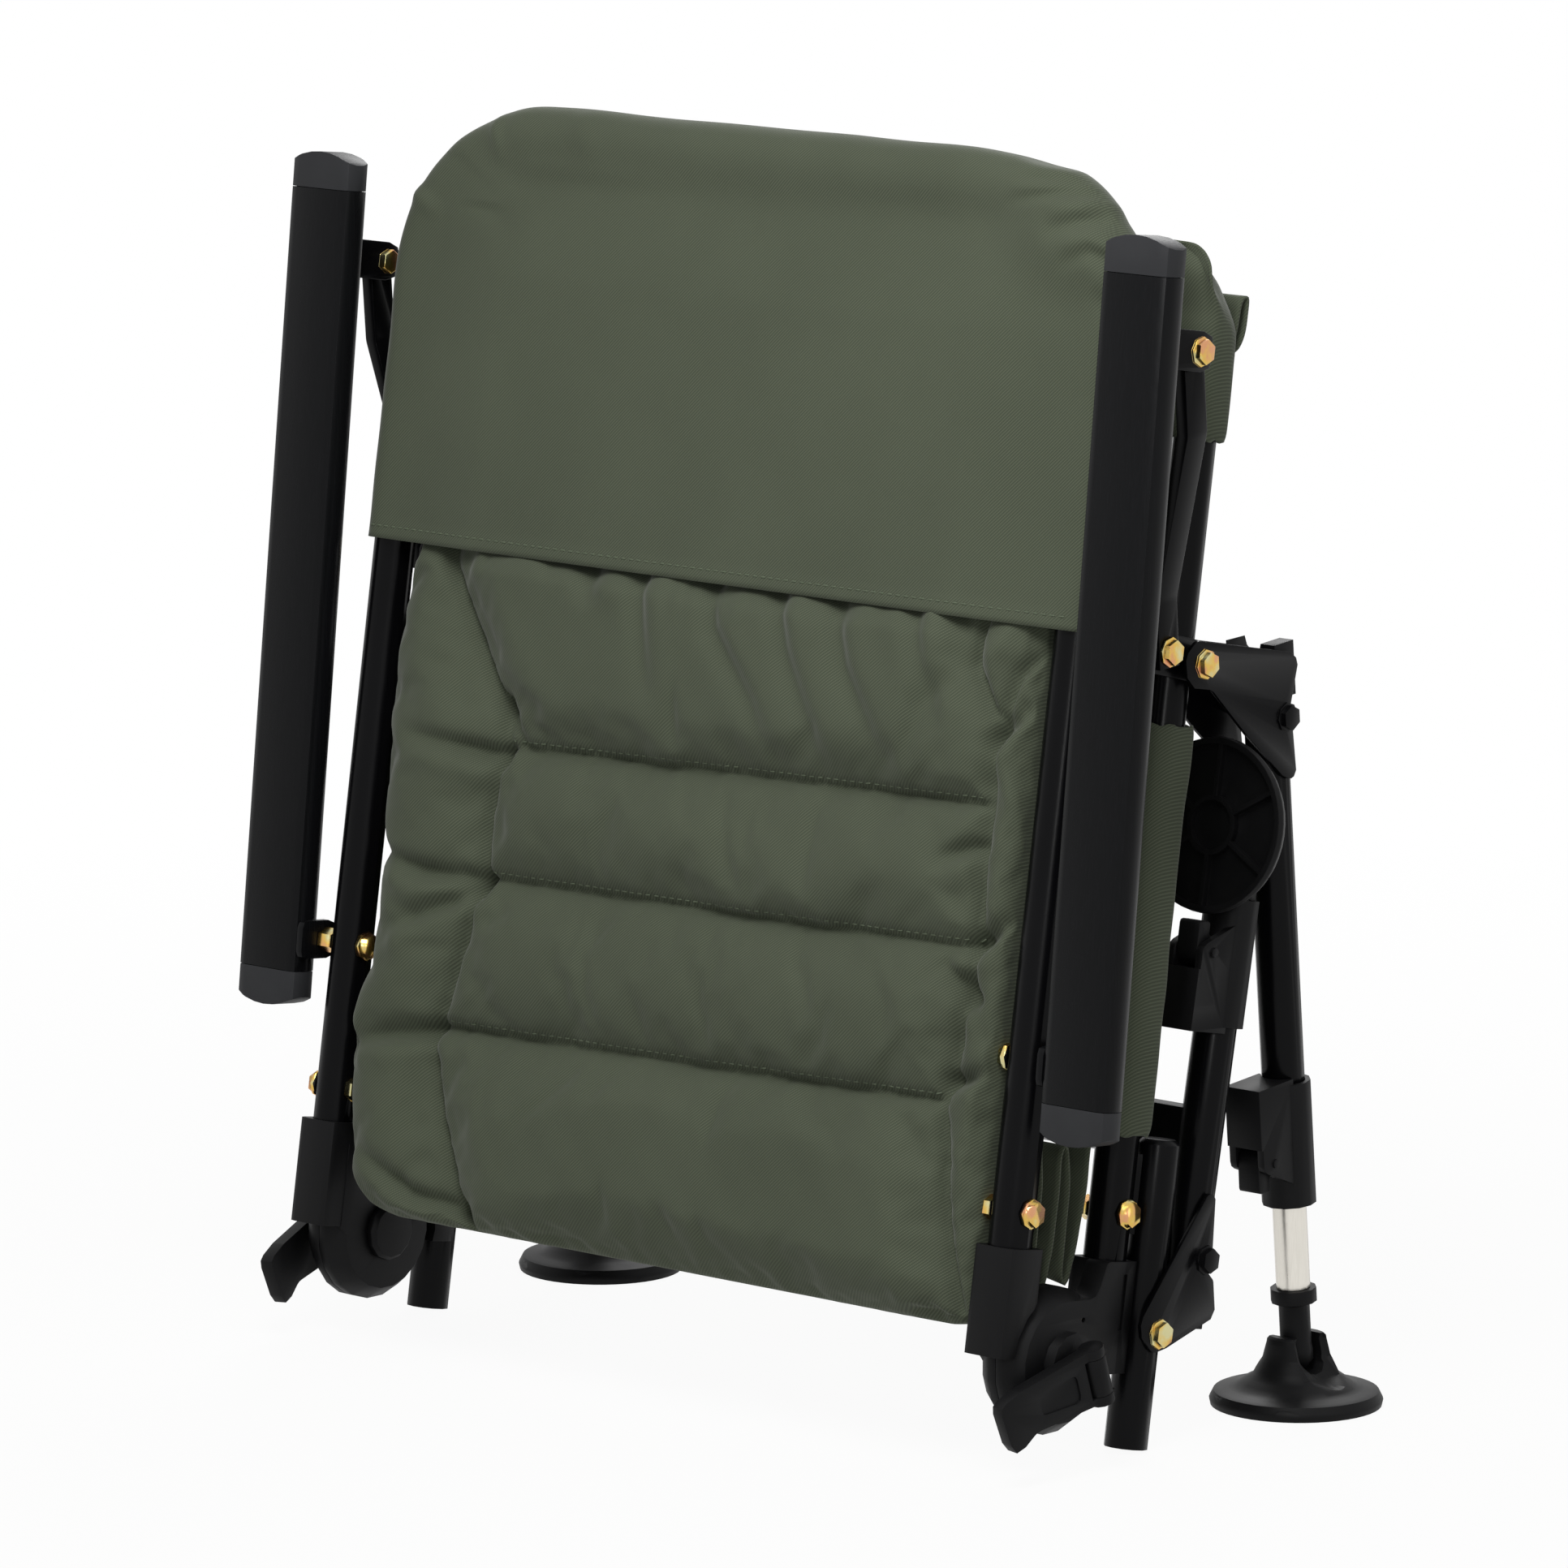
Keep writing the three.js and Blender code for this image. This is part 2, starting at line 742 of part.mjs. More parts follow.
// Recline lever: a waisted paddle whose two flanges hold the pin of the hinge's barrel.
function reclineLever() {
  const shape = outline([
    [barrelRadius, -leverHalfWidth, leverHeel],
    [barrelRadius, leverHalfWidth, leverHeel],
    ...leverCorners(paddleShares),
  ]);
  const paddle = plate(shape, -leverThickness / 2, leverThickness / 2);
  const window = box(
    -leverThickness - overrun,
    leverThickness + overrun,
    -barrelRadius - gap - tubeWall,
    barrelRadius + overrun,
    -barrelHalf - gap,
    barrelHalf + gap,
  );
  const flanges = [-1, 1].map((side) => {
    const low = side < 0 ? -leverHalfWidth : barrelHalf + gap;
    return rodZ(barrelRadius, low, low + leverFlange, 0, 0);
  });
  const recessShape = outline(leverCorners(recessShares));
  const recess = plate(recessShape, leverThickness / 2 - tubeWall, leverThickness / 2 + overrun);
  const pin = rodZ(leverPinRadius, -leverHalfWidth, leverHalfWidth, 0, 0, smallSides);
  const body = union(cut(union(paddle, ...flanges), window, recess), pin);
  return body.rotateZ(-leverToeIn).rotateX(leverTurn).translate(leverX, leverOffset, leverHeight);
}

const armInner = () => armX - armWidth / 2;

// The armrest's rear bolt: a head inside the tube, a spacer nut, and the shank through the lug.
function armBolt() {
  const lugFace = armInner() - lugThickness;
  const innerFace = seatTubeX - tubeRadius;
  const place = [armPivotOffset, armPivotHeight];
  return union(
    rodX(boltRadius, innerFace - headHeight, lugFace + lugThickness, ...place),
    rodX(washerRadius, innerFace - washerThickness, innerFace + tubeWall, ...place),
    rodX(headRadius, innerFace - headHeight, innerFace - washerThickness + weld, ...place, hexSides),
    rodX(headRadius, seatTubeX + tubeRadius - tubeWall, lugFace - gap, ...place, hexSides),
  );
}

function backFrame() {
  const foot = tubeFoot(backOffset);
  const corners = uCorners(seatTubeX, backOffset, foot, backLength);
  const tube = bentTube(corners, backBend, tubeRadius, tubeRadius - tubeWall);
  const sleeveBolt = throughBolt(seatTubeX - tubeRadius, seatTubeX + tubeRadius, backOffset, frameBoltHeight);
  return union(tube, ...bothSides(sleeveBolt), ...bothSides(armBolt()));
}

// Armrest pieces are drawn upright about the rear pivot and leaned by the armrest's angle.
function placeArm(geometry) {
  return geometry.rotateX(armrestAngle).translate(0, armPivotOffset, armPivotHeight);
}

function armSection(inset) {
  return rectangle(armWidth / 2 - inset, armThickness / 2 - inset, armCorner - inset);
}

function armTube() {
  const section = armSection(0);
  section.holes.push(armSection(armWall));
  const tube = upright(section, -armBelowPivot, armLength - armBelowPivot, armCornerSteps);
  tube.translate(armX, armCentreOffset, 0);
  const lugFrom = armInner() - lugThickness;
  const lugShape = outline([
    [-armThickness, -lugRadius, lugHeelCorner],
    [lugNose, -lugRadius, lugNoseCorner],
    [lugNose, lugRadius, lugNoseCorner],
    [-armThickness, lugRadius, lugHeelCorner],
  ]);
  const lug = plate(lugShape, lugFrom, armInner() + armWall / 2);
  const hole = rodX(boltRadius + boltGap, lugFrom - overrun, armInner() + armWall + overrun, 0, 0);
  return placeArm(cut(union(tube, lug), hole));
}

function armCap(up) {
  const seat = up > 0 ? armLength - armBelowPivot + gap : -armBelowPivot - gap;
  const end = seat + up * capLength;
  const shell = upright(armSection(0), Math.min(seat, end), Math.max(seat, end), armCornerSteps);
  const domeRadius = armWidth;
  const dome = rodY(domeRadius, -armThickness, armThickness, 0, end - up * domeRadius, discSides * 2);
  const plugEnds = [seat - up * capPlug, seat + up * weld].sort((a, b) => a - b);
  const plug = upright(armSection(armWall + gap), ...plugEnds, armCornerSteps);
  return placeArm(union(common(shell, dome), plug).translate(armX, armCentreOffset, 0));
}

// The bolts of the linkage, in the stack's frame.
const strutTop = () => [armPivotOffset + linkDrop, armPivotHeight + linkReach];
const strutFoot = () => [hingeOffset + linkDrop, hingeHeight + linkReach];

function armBracket() {
  const [y, z] = strutTop();
  const backOfArm = armPivotOffset + armCentreOffset + armThickness / 2;
  const root = backOfArm - Math.tan(armrestAngle) * (linkReach - lugRadius) + gap;
  const shape = outline([
    [root, z - lugRadius],
    [y + lugRadius, z - lugRadius, armBracketCorner],
    [y + lugRadius, z + lugRadius, armBracketCorner],
    [root, z + lugRadius],
  ]);
  const cheek = (fromX) => plate(shape, fromX, fromX + lugThickness);
  const half = armBracketGap / 2;
  const innerX = armX - half - lugThickness;
  const outerX = armX + half + lugThickness;
  const foot = box(innerX, outerX, root, root + lugThickness, z - lugRadius, z + lugRadius);
  return union(foot, cheek(innerX), cheek(armX + half), throughBolt(innerX, outerX, y, z));
}

// Strut: flat ends on both bolts and an S-bend between them, extruded across its width.
function strut() {
  const [topY, topZ] = strutTop();
  const [footY, footZ] = strutFoot();
  const length = Math.hypot(topY - footY, topZ - footZ);
  const turn = Math.atan2(topY - footY, topZ - footZ);
  const half = strutThickness / 2;
  const side = (shift) => [
    [strutX + shift, -lugNose, 0],
    [strutX + shift, strutStraight, strutBend],
    [armX + shift, length - strutTopStraight, strutBend],
    [armX + shift, length + lugNose, 0],
  ];
  const shape = outline([...side(half), ...side(-half).reverse()]);
  const options = { depth: strutWidth, bevelEnabled: false, curveSegments: arcSteps };
  const bar = welded(new THREE.ExtrudeGeometry(shape, options));
  bar.rotateX(quarterTurn).translate(0, strutWidth / 2, 0);
  const holes = [
    rodX(boltRadius + boltGap, strutX - strutThickness, strutX + strutThickness, 0, 0),
    rodX(boltRadius + boltGap, armX - strutThickness, armX + strutThickness, 0, length),
  ];
  return cut(bar, ...holes).rotateX(-turn).translate(0, footY, footZ);
}

function strutAnchor() {
  const [footY, footZ] = strutFoot();
  const fromX = seatTubeX + tubeRadius + gap;
  const toX = fromX + anchorThickness;
  const shape = outline([
    [footY - anchorRadius, footZ - anchorRadius, anchorCorner],
    [anchorRadius, frontPivotHeight - anchorRadius, anchorCorner],
    [anchorRadius, frontPivotHeight + anchorRadius, anchorCorner],
    [footY - anchorRadius, footZ + anchorRadius, anchorCorner],
  ]);
  const body = plate(shape, fromX, toX);
  const spacer = rodX(washerRadius, toX - weld, outsideX - gap, 0, frontPivotHeight);
  const hole = rodX(boltRadius + boltGap, fromX - overrun, outsideX + overrun, 0, frontPivotHeight);
  const shank = rodX(boltRadius, toX - weld, strutX + strutThickness / 2 + gap + headHeight, footY, footZ);
  const washerX = strutX + strutThickness / 2 + gap;
  const headX = washerX + washerThickness;
  const washer = rodX(washerRadius, washerX, headX, footY, footZ);
  const head = rodX(headRadius, headX - weld, washerX + headHeight, footY, footZ, hexSides);
  return cut(union(body, spacer, shank, washer, head), hole);
}

// Leg assemblies are drawn about their pivot with the leg's axis along Z, pointing down.
function legGroup(pivotOffset, pivotHeight, angle) {
  const group = new THREE.Group();
  group.position.set(0, pivotOffset, pivotHeight);
  group.rotation.x = angle;
  stack.add(group);
  return group;
}

function legFrame(offset, top, length, crossbarAt, boltAt) {
  const foot = top - length;
  const leg = rodZ(legRadius, foot, top, legX, offset);
  const bar = plate(rectangle(crossbarDepth / 2, crossbarHeight / 2, crossbarCorner), -legX, legX);
  bar.translate(0, offset, top - crossbarAt);
  const bore = rodZ(legRadius - legWall, foot - overrun, top + overrun, legX, offset);
  const hollow = plate(
    rectangle(crossbarDepth / 2 - legWall, crossbarHeight / 2 - legWall, crossbarCorner - legWall),
    -legX,
    legX,
  ).translate(0, offset, top - crossbarAt);
  const hole = boltHole(legX, offset, boltAt);
  return cut(union(bar, ...bothSides(leg)), ...bothSides(bore), hollow, ...bothSides(hole));
}

// Clamp: a collar round the tube's open end, a block beside it and two cheeks for the lever.
function clampBody(offset, foot, side) {
  const collarTop = foot + clampLength - clampLip;
  const collar = rodZ(clampRadius, foot - clampLip, collarTop, legX, offset);
  const near = offset + side * (clampRadius - tubeWall);
  const far = offset + side * blockReach;
  const blockTop = collarTop + blockRise;
  const cheekFoot = blockTop - blockLength - cheekLength;
  const block = box(
    legX - blockWidth / 2,
    legX + blockWidth / 2,
    Math.min(near - side * clampRadius / 2, far),
    Math.max(near - side * clampRadius / 2, far),
    blockTop - blockLength,
    blockTop,
  );
  const cheekFar = offset + side * (blockReach - tubeWall);
  const cheeks = [legX - blockWidth / 2, legX + blockWidth / 2 - cheekThickness].map((fromX) =>
    plate(
      outline([
        [offset + side * clampRadius * cheekRootShare, blockTop - blockLength + weld],
        [cheekFar, blockTop - blockLength + weld],
        [cheekFar, cheekFoot + cheekLength / 2, cheekCorner],
        [offset + side * clampRadius * cheekRootShare, cheekFoot],
      ]),
      fromX,
      fromX + cheekThickness,
    ),
  );
  const tubeBore = rodZ(legRadius + gap, foot - gap, blockTop + overrun, legX, offset);
  const innerBore = rodZ(innerRadius + gap, foot - clampLip - overrun, foot, legX, offset);
  return cut(union(collar, block, ...cheeks), tubeBore, innerBore);
}

function clampLeverPivot(foot) {
  return foot + clampLength - clampLip + blockRise - blockLength - clampLeverRadius - gap;
}

const clampLeverAt = (offset, side) => offset + side * (clampRadius + gap + clampLeverRadius);

// A round cam about the screw with a ribbed tail outside it.
function clampLever(offset, foot, side) {
  const pivot = clampLeverPivot(foot);
  const centre = clampLeverAt(offset, side);
  const half = blockWidth / 2 - cheekThickness - gap;
  const cam = rodX(clampLeverRadius - gap, legX - half, legX + half, centre, pivot, tubeSides);
  const tail = plate(
    outline([
      [centre, pivot],
      [centre + side * (clampLeverRadius - gap), pivot],
      [centre + side * clampLeverRadius, pivot - clampLeverLength, clampLeverTip],
      [centre, pivot - clampLeverLength, clampLeverTip],
    ]),
    legX - half,
    legX + half,
  );
  return union(cam, tail);
}

function clampScrew(offset, foot, side, extra) {
  const pivot = clampLeverPivot(foot);
  const centre = clampLeverAt(offset, side);
  const reach = blockWidth / 2 + clampScrewHead + extra;
  return rodX(clampScrewRadius + extra, legX - reach, legX + reach, centre, pivot, smallSides);
}

function innerLeg(offset, foot, shown) {
  const low = foot - shown;
  const section = circle(innerRadius);
  section.holes.push(circle(innerRadius - innerWall));
  return upright(section, low, foot + innerHidden, tubeSides / 2).translate(legX, offset, 0);
}

// Foot socket: a plug in the inner leg, a collar, a neck and the ball that the pin passes.
function footSocket() {
  const neckLow = ballRadius * ballNeckShare;
  const collarLow = neckLow + neckHeight;
  const collarTop = collarLow + collarHeight;
  const body = turned([
    [0, -ballRadius],
    ...sized(ballShares, ballRadius),
    [neckRadius, neckLow + tubeWall],
    [neckRadius, collarLow],
    [collarRadius, collarLow + tubeWall],
    [collarRadius, collarTop],
    [innerRadius - innerWall - gap, collarTop],
    [innerRadius - innerWall - gap, collarTop + plugLength],
    [0, collarTop + plugLength],
  ]);
  const hole = rodX(footPinRadius + footRockGap, -2 * ballRadius, 2 * ballRadius, 0, 0);
  return cut(body, hole);
}

const socketTop = () => ballRadius * ballNeckShare + neckHeight + collarHeight;

// Mud foot: a ribbed dish with two ears that carry the pin, and a saddle cut for the neck.
function footBase() {
  const dish = turned(
    [
      [0, footCeiling],
      [footRadius - footWall, footCeiling],
      [footRadius - footWall, 0],
      [footRadius, 0],
      [footRadius + tubeWall / 2, footRim / 2],
      [footRadius - footWall / 2, footRim + tubeWall],
      ...domeShares.map(([out, up]) => [out * footRadius, up * footRim]),
      [earRadius, earTop - tubeWall],
      [earRadius - tubeWall, earTop],
      [0, earTop],
    ],
    footSides,
  );
  const slotHalf = ballRadius + gap;
  const slot = box(-2 * footRadius, 2 * footRadius, -slotHalf, slotHalf, footPinHeight, 2 * earTop);
  const saddle = rodX(slotHalf, -2 * footRadius, 2 * footRadius, 0, footPinHeight, tubeSides);
  const scoops = [-1, 1].map((side) => {
    const scoop = welded(new THREE.SphereGeometry(footRadius * scoopShare, scoopSides, scoopSides / 2));
    return scoop.translate(side * footRadius * scoopOutShare, 0, footPinHeight + scoopRise);
  });
  const ribs = [];
  for (let index = 0; index < footRibs; index += 1) {
    const from = (hubInner + hubOuter) / 2;
    const rib = box(from, footRadius - footWall / 2, -ribThickness / 2, ribThickness / 2, ribDrop, footRim);
    ribs.push(rib.rotateZ((2 * Math.PI * index) / footRibs));
  }
  const ringShape = circle(hubOuter);
  ringShape.holes.push(circle(hubInner));
  const ring = upright(ringShape, ribDrop, footRim, boltSides);
  const pin = rodY(footPinRadius, -earRadius, earRadius, 0, footPinHeight);
  return union(cut(dish, slot, saddle, ...scoops), ...ribs, ring, pin);
}

// Leg bracket: two plates either side of the tubes, joined by the pivot bolt and a tube bolt.
function legBracket(innerCorners, outerCorners, insideX, tubeBolt) {
  const inner = plate(outline(innerCorners), insideX - plateThickness, insideX, bracketSteps);
  const outer = plate(outline(outerCorners), outsideX, outsideX + plateThickness, bracketSteps);
  const pivot = throughBolt(insideX - plateThickness, outsideX + plateThickness, 0, 0);
  const rivet = throughBolt(insideX - plateThickness, outsideX + plateThickness, ...tubeBolt);
  return union(inner, outer, pivot, rivet);
}

function frontBracket() {
  const corners = sized(frontPlateShares, bracketSpan);
  return legBracket(corners, corners, frontInsideX, [frontLegOffset, -frontRivetDrop]);
}

function rearBracket() {
  const inner = sized([...rearPlateShares, ...rearInnerEndShares], bracketSpan);
  const outer = sized([...rearPlateShares, ...rearOuterEndShares], bracketSpan);
  return legBracket(inner, outer, rearInsideX, [-rearLegOffset, -rearRivetDrop]);
}

// Clip: closes the leg tube's top and holds the round tube it lands on when the leg is opened.
function clip(offset, tubeTop, insideX, landing, tubeX) {
  const block = box(
    insideX + gap,
    outsideX - gap,
    offset - clipDepth / 2,
    offset + clipDepth / 2,
    tubeTop + gap,
    -clipJaw,
  );
  const reach = 2 * bracketSpan;
  const landed = rodZ(tubeRadius + gap, -reach, reach, tubeX, 0).rotateX(-landing);
  return cut(block, landed);
}

function frontClip() {
  return clip(frontLegOffset + legRadius / 3, frontTubeTop, frontInsideX, frontLanding, seatTubeX);
}

function rearClip() {
  return clip(-rearLegOffset, rearTubeTop, rearInsideX, rearLanding, stubX);
}

// The shares of a pad's length where it has a row: even steps, and three at each sewn channel.
function padStations(length, seams) {
  const even = Array.from({ length: padRows + 1 }, (_, index) => index / padRows);
  const reach = channelHalfWidth / length;
  const clear = even.filter((share) => seams.every((seam) => Math.abs(share - seam) > 2 * reach));
  return [...clear, ...seams.flatMap((seam) => [seam - reach, seam, seam + reach])].sort((a, b) => a - b);
}

// How thick a pad is at a place, in shares of its full thickness: crowned, and thin at its edges.
function padThickness(across, along) {
  const sides = 1 - Math.abs(across) ** padSidePower;
  const ends = 1 - Math.abs(along) ** padEndPower;
  return padEdgeShare + (1 - padEdgeShare) * Math.sqrt(Math.max(sides * ends, 0));
}

// A crowned pad with sewn channels across its front: two sheets of points, joined round the edge.
function pad(low, high, front, back, halfWidth, seams) {
  const rows = padStations(high - low, seams);
  const middle = (front + back) / 2;
  const points = [];
  const faces = [];
  const channel = (row) => (seams.includes(row) ? channelDepth : 0);
  rows.forEach((row) => {
    const along = 2 * row - 1;
    const reach = halfWidth - Math.abs(along) ** padWaistPower * padPillow;
    for (let column = 0; column <= padColumns; column += 1) {
      const across = (2 * column) / padColumns - 1;
      const half = ((back - front) / 2) * padThickness(across, along);
      const height = low + (high - low) * row;
      points.push([across * reach, middle - half + channel(row), height]);
      points.push([across * reach, middle + half, height]);
    }
  });
  const at = (row, column, side) => 2 * (row * (padColumns + 1) + column) + side;
  const quad = (a, b, c, d) => faces.push(a, b, c, a, c, d);
  const last = rows.length - 1;
  for (let row = 0; row < last; row += 1) {
    for (let column = 0; column < padColumns; column += 1) {
      quad(at(row, column, 0), at(row, column + 1, 0), at(row + 1, column + 1, 0), at(row + 1, column, 0));
      quad(at(row, column, 1), at(row + 1, column, 1), at(row + 1, column + 1, 1), at(row, column + 1, 1));
    }
    quad(at(row, 0, 0), at(row + 1, 0, 0), at(row + 1, 0, 1), at(row, 0, 1));
    quad(
      at(row, padColumns, 0),
      at(row, padColumns, 1),
      at(row + 1, padColumns, 1),
      at(row + 1, padColumns, 0),
    );
  }
  for (let column = 0; column < padColumns; column += 1) {
    quad(at(0, column, 0), at(0, column, 1), at(0, column + 1, 1), at(0, column + 1, 0));
    quad(at(last, column, 0), at(last, column + 1, 0), at(last, column + 1, 1), at(last, column, 1));
  }
  const geometry = new THREE.BufferGeometry();
  geometry.setAttribute("position", new THREE.Float32BufferAttribute(points.flat(), 3));
  geometry.setIndex(faces);
  return geometry;
}

function backCushion() {
  return pad(backPadLow, backPadHigh, backPadFront, backPadBack, backPadHalfWidth, seamShares);
}

function seatCushion() {
  return pad(seatPadLow, seatPadHigh, seatPadFront, seatPadBack, seatPadHalfWidth, seamShares);
}

// Hood: a pocket over the top of the backrest frame, narrower at its crown.
function hoodShape() {
  const shape = new THREE.Shape();
  const shoulder = hoodTop - hoodCrown;
  const arch = hoodArchShare * hoodCrown;
  const shoulderX = hoodHalfWidthLow - hoodTaperShare * hoodCrown;
  const cornerX = hoodHalfWidthLow - hoodCornerShare * hoodCrown;
  shape.moveTo(-hoodHalfWidthLow, hoodLow);
  shape.lineTo(hoodHalfWidthLow, hoodLow);
  shape.lineTo(shoulderX, shoulder);
  shape.quadraticCurveTo(cornerX, hoodTop - arch, hoodHalfWidthTop, hoodTop - arch);
  shape.quadraticCurveTo(0, hoodTop + arch, -hoodHalfWidthTop, hoodTop - arch);
  shape.quadraticCurveTo(-cornerX, hoodTop - arch, -shoulderX, shoulder);
  shape.closePath();
  return shape;
}

function hood() {
  const bevel = hoodWall / 2;
  const options = {
    depth: hoodBack - hoodFront - 2 * bevel,
    bevelEnabled: true,
    bevelThickness: bevel,
    bevelSize: bevel,
    bevelOffset: -bevel,
    bevelSegments: filletSteps,
    curveSegments: arcSteps,
  };
  const body = welded(new THREE.ExtrudeGeometry(hoodShape(), options));
  body.rotateX(quarterTurn).translate(0, hoodBack - bevel, 0);
  const corners = uCorners(seatTubeX, backOffset, hoodLow - overrun, backLength);
  return cut(body, bentTube(corners, backBend, tubeRadius + clothGap));
}

// Sling: cloth sleeves round the side tubes, a pocket at the front bar and a sheet between.
function sling() {
  const outer = tubeRadius + clothGap + sleeveThickness;
  const sideSleeve = rodZ(outer, sideSleeveLow, sideSleeveHigh, seatTubeX, 0);
  const pocket = bentTube(uCorners(seatTubeX, 0, pocketLow, seatLength), seatBend, outer);
  const sheetBack = -tubeRadius - clothGap;
  const sheetFront = sheetBack - slingThickness;
  const panel = (halfWidth, low, high) => box(-halfWidth, halfWidth, sheetFront, sheetBack, low, high);
  const sheet = panel(seatTubeX - seatBend, sideSleeveLow, seatLength);
  const lower = panel(seatTubeX, sideSleeveLow, sideSleeveHigh);
  const upper = panel(seatTubeX, pocketLow, seatLength - seatBend);
  const corners = uCorners(seatTubeX, 0, sideSleeveLow - overrun, seatLength);
  const core = bentTube(corners, seatBend, tubeRadius + clothGap);
  return cut(union(pocket, ...bothSides(sideSleeve), sheet, lower, upper), core);
}

// One folding leg pair with its brackets, clips, clamps, sliding tubes and mud feet.
function addLegs(prefix, leg) {
  const group = legGroup(leg.pivotOffset, leg.pivotHeight, leg.angle);
  const foot = leg.top - leg.length;
  const frame = legFrame(leg.offset, leg.top, leg.length, leg.crossbarAt, leg.boltAt);
  add(group, `${prefix}_leg_frame`, frame, enamel());
  addPair(group, `${prefix}_leg_bracket`, leg.bracket(), enamel);
  addPair(group, `${prefix}_leg_clip`, leg.clip(), plastic);
  const screw = clampScrew(leg.offset, foot, leg.side, 0);
  const screwHole = clampScrew(leg.offset, foot, leg.side, boltGap);
  addPair(group, `${prefix}_leg_clamp`, union(clampBody(leg.offset, foot, leg.side), screw), plastic);
  const lever = cut(clampLever(leg.offset, foot, leg.side), screwHole);
  addPair(group, `${prefix}_clamp_lever`, lever, plastic);
  addPair(group, `${prefix}_inner_leg`, innerLeg(leg.offset, foot, leg.shown), aluminium);
  const pinDrop = foot - leg.shown - gap - socketTop();
  const socket = footSocket();
  if (leg.pinAcross) socket.rotateZ(quarterTurn);
  socket.translate(legX, leg.offset, pinDrop);
  addPair(group, `${prefix}_foot_socket`, socket, plastic);
  const base = footBase().translate(0, 0, -footPinHeight);
  if (!leg.pinAcross) base.rotateZ(quarterTurn);
  base.rotateX(leg.footTurn).translate(legX, leg.offset, pinDrop);
  addPair(group, `${prefix}_foot_base`, base, plastic);
}

// Seat and backrest
add(stack, "seat_frame_tube", seatFrame(), enamel());
addPair(stack, "rear_stub", stub(), enamel);
addPair(stack, "seat_hinge_housing", seatHinge(), plastic);
addPair(stack, "hinge_axle", hingeAxle(), plastic);
addPair(stack, "strut_anchor_plate", strutAnchor(), enamel);
add(stack, "seat_sling", sling(), cloth());
add(stack, "seat_cushion", seatCushion(), cloth());
add(stack, "backrest_frame_tube", backFrame(), enamel());
addPair(stack, "back_hinge_housing", backHinge(), plastic);
add(stack, "backrest_cushion", backCushion(), cloth());
add(stack, "backrest_hood", hood(), cloth());
addPair(stack, "recline_lever", reclineLever(), plastic);

// Armrests
addPair(stack, "armrest_tube", armTube(), satin);
addPair(stack, "armrest_front_cap", armCap(1), capPlastic);
addPair(stack, "armrest_rear_cap", armCap(-1), capPlastic);
addPair(stack, "armrest_bracket", armBracket(), enamel);
addPair(stack, "armrest_strut", strut(), enamel);

// The front inner legs are drawn out until their feet stand on the floor.
function frontInnerShown() {
  const tilt = frontLegAngle - chairLean;
  const pivotZ = frontPivotHeight * Math.cos(chairLean);
  const pinDrop = (pivotZ + frontLegOffset * Math.sin(tilt) - footPinHeight) / Math.cos(tilt);
  return pinDrop - gap - socketTop() - (frontTubeLength - frontTubeTop);
}

// Legs
addLegs("front", {
  pivotOffset: 0,
  pivotHeight: frontPivotHeight,
  angle: frontLegAngle,
  offset: frontLegOffset,
  top: frontTubeTop,
  length: frontTubeLength,
  crossbarAt: frontCrossbarAt,
  side: -1,
  pinAcross: true,
  footTurn: chairLean - frontLegAngle,
  shown: frontInnerShown(),
  boltAt: -frontRivetDrop,
  bracket: frontBracket,
  clip: frontClip,
});
addLegs("rear", {
  pivotOffset: stubOffset,
  pivotHeight: rearPivotHeight,
  angle: Math.PI - rearLegAngle,
  offset: -rearLegOffset,
  top: rearTubeTop,
  length: rearTubeLength,
  crossbarAt: rearCrossbarAt,
  side: 1,
  pinAcross: false,
  footTurn: quarterTurn,
  shown: rearInnerShown,
  boltAt: -rearRivetDrop,
  bracket: rearBracket,
  clip: rearClip,
});

// The origin is on the floor, below the middle of the folded chair's bounding box.
const bounds = new THREE.Box3().setFromObject(chair, true);
const middle = bounds.getCenter(new THREE.Vector3());
stack.position.set(-middle.x, -middle.y, -bounds.min.z);

export default chair;
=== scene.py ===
# %% [markdown]
# # A folding fishing chair, folded flat and standing on its own
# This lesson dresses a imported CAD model. The CAD model gives every solid its true place and size, and
# Blender adds what the eye wants: smooth tubes, soft edges, sewn and padded cloth, and real finishes.
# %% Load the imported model
import json
import math

import bmesh
import bpy
import numpy as np
from mathutils import Matrix, Vector
from mathutils.bvhtree import BVHTree

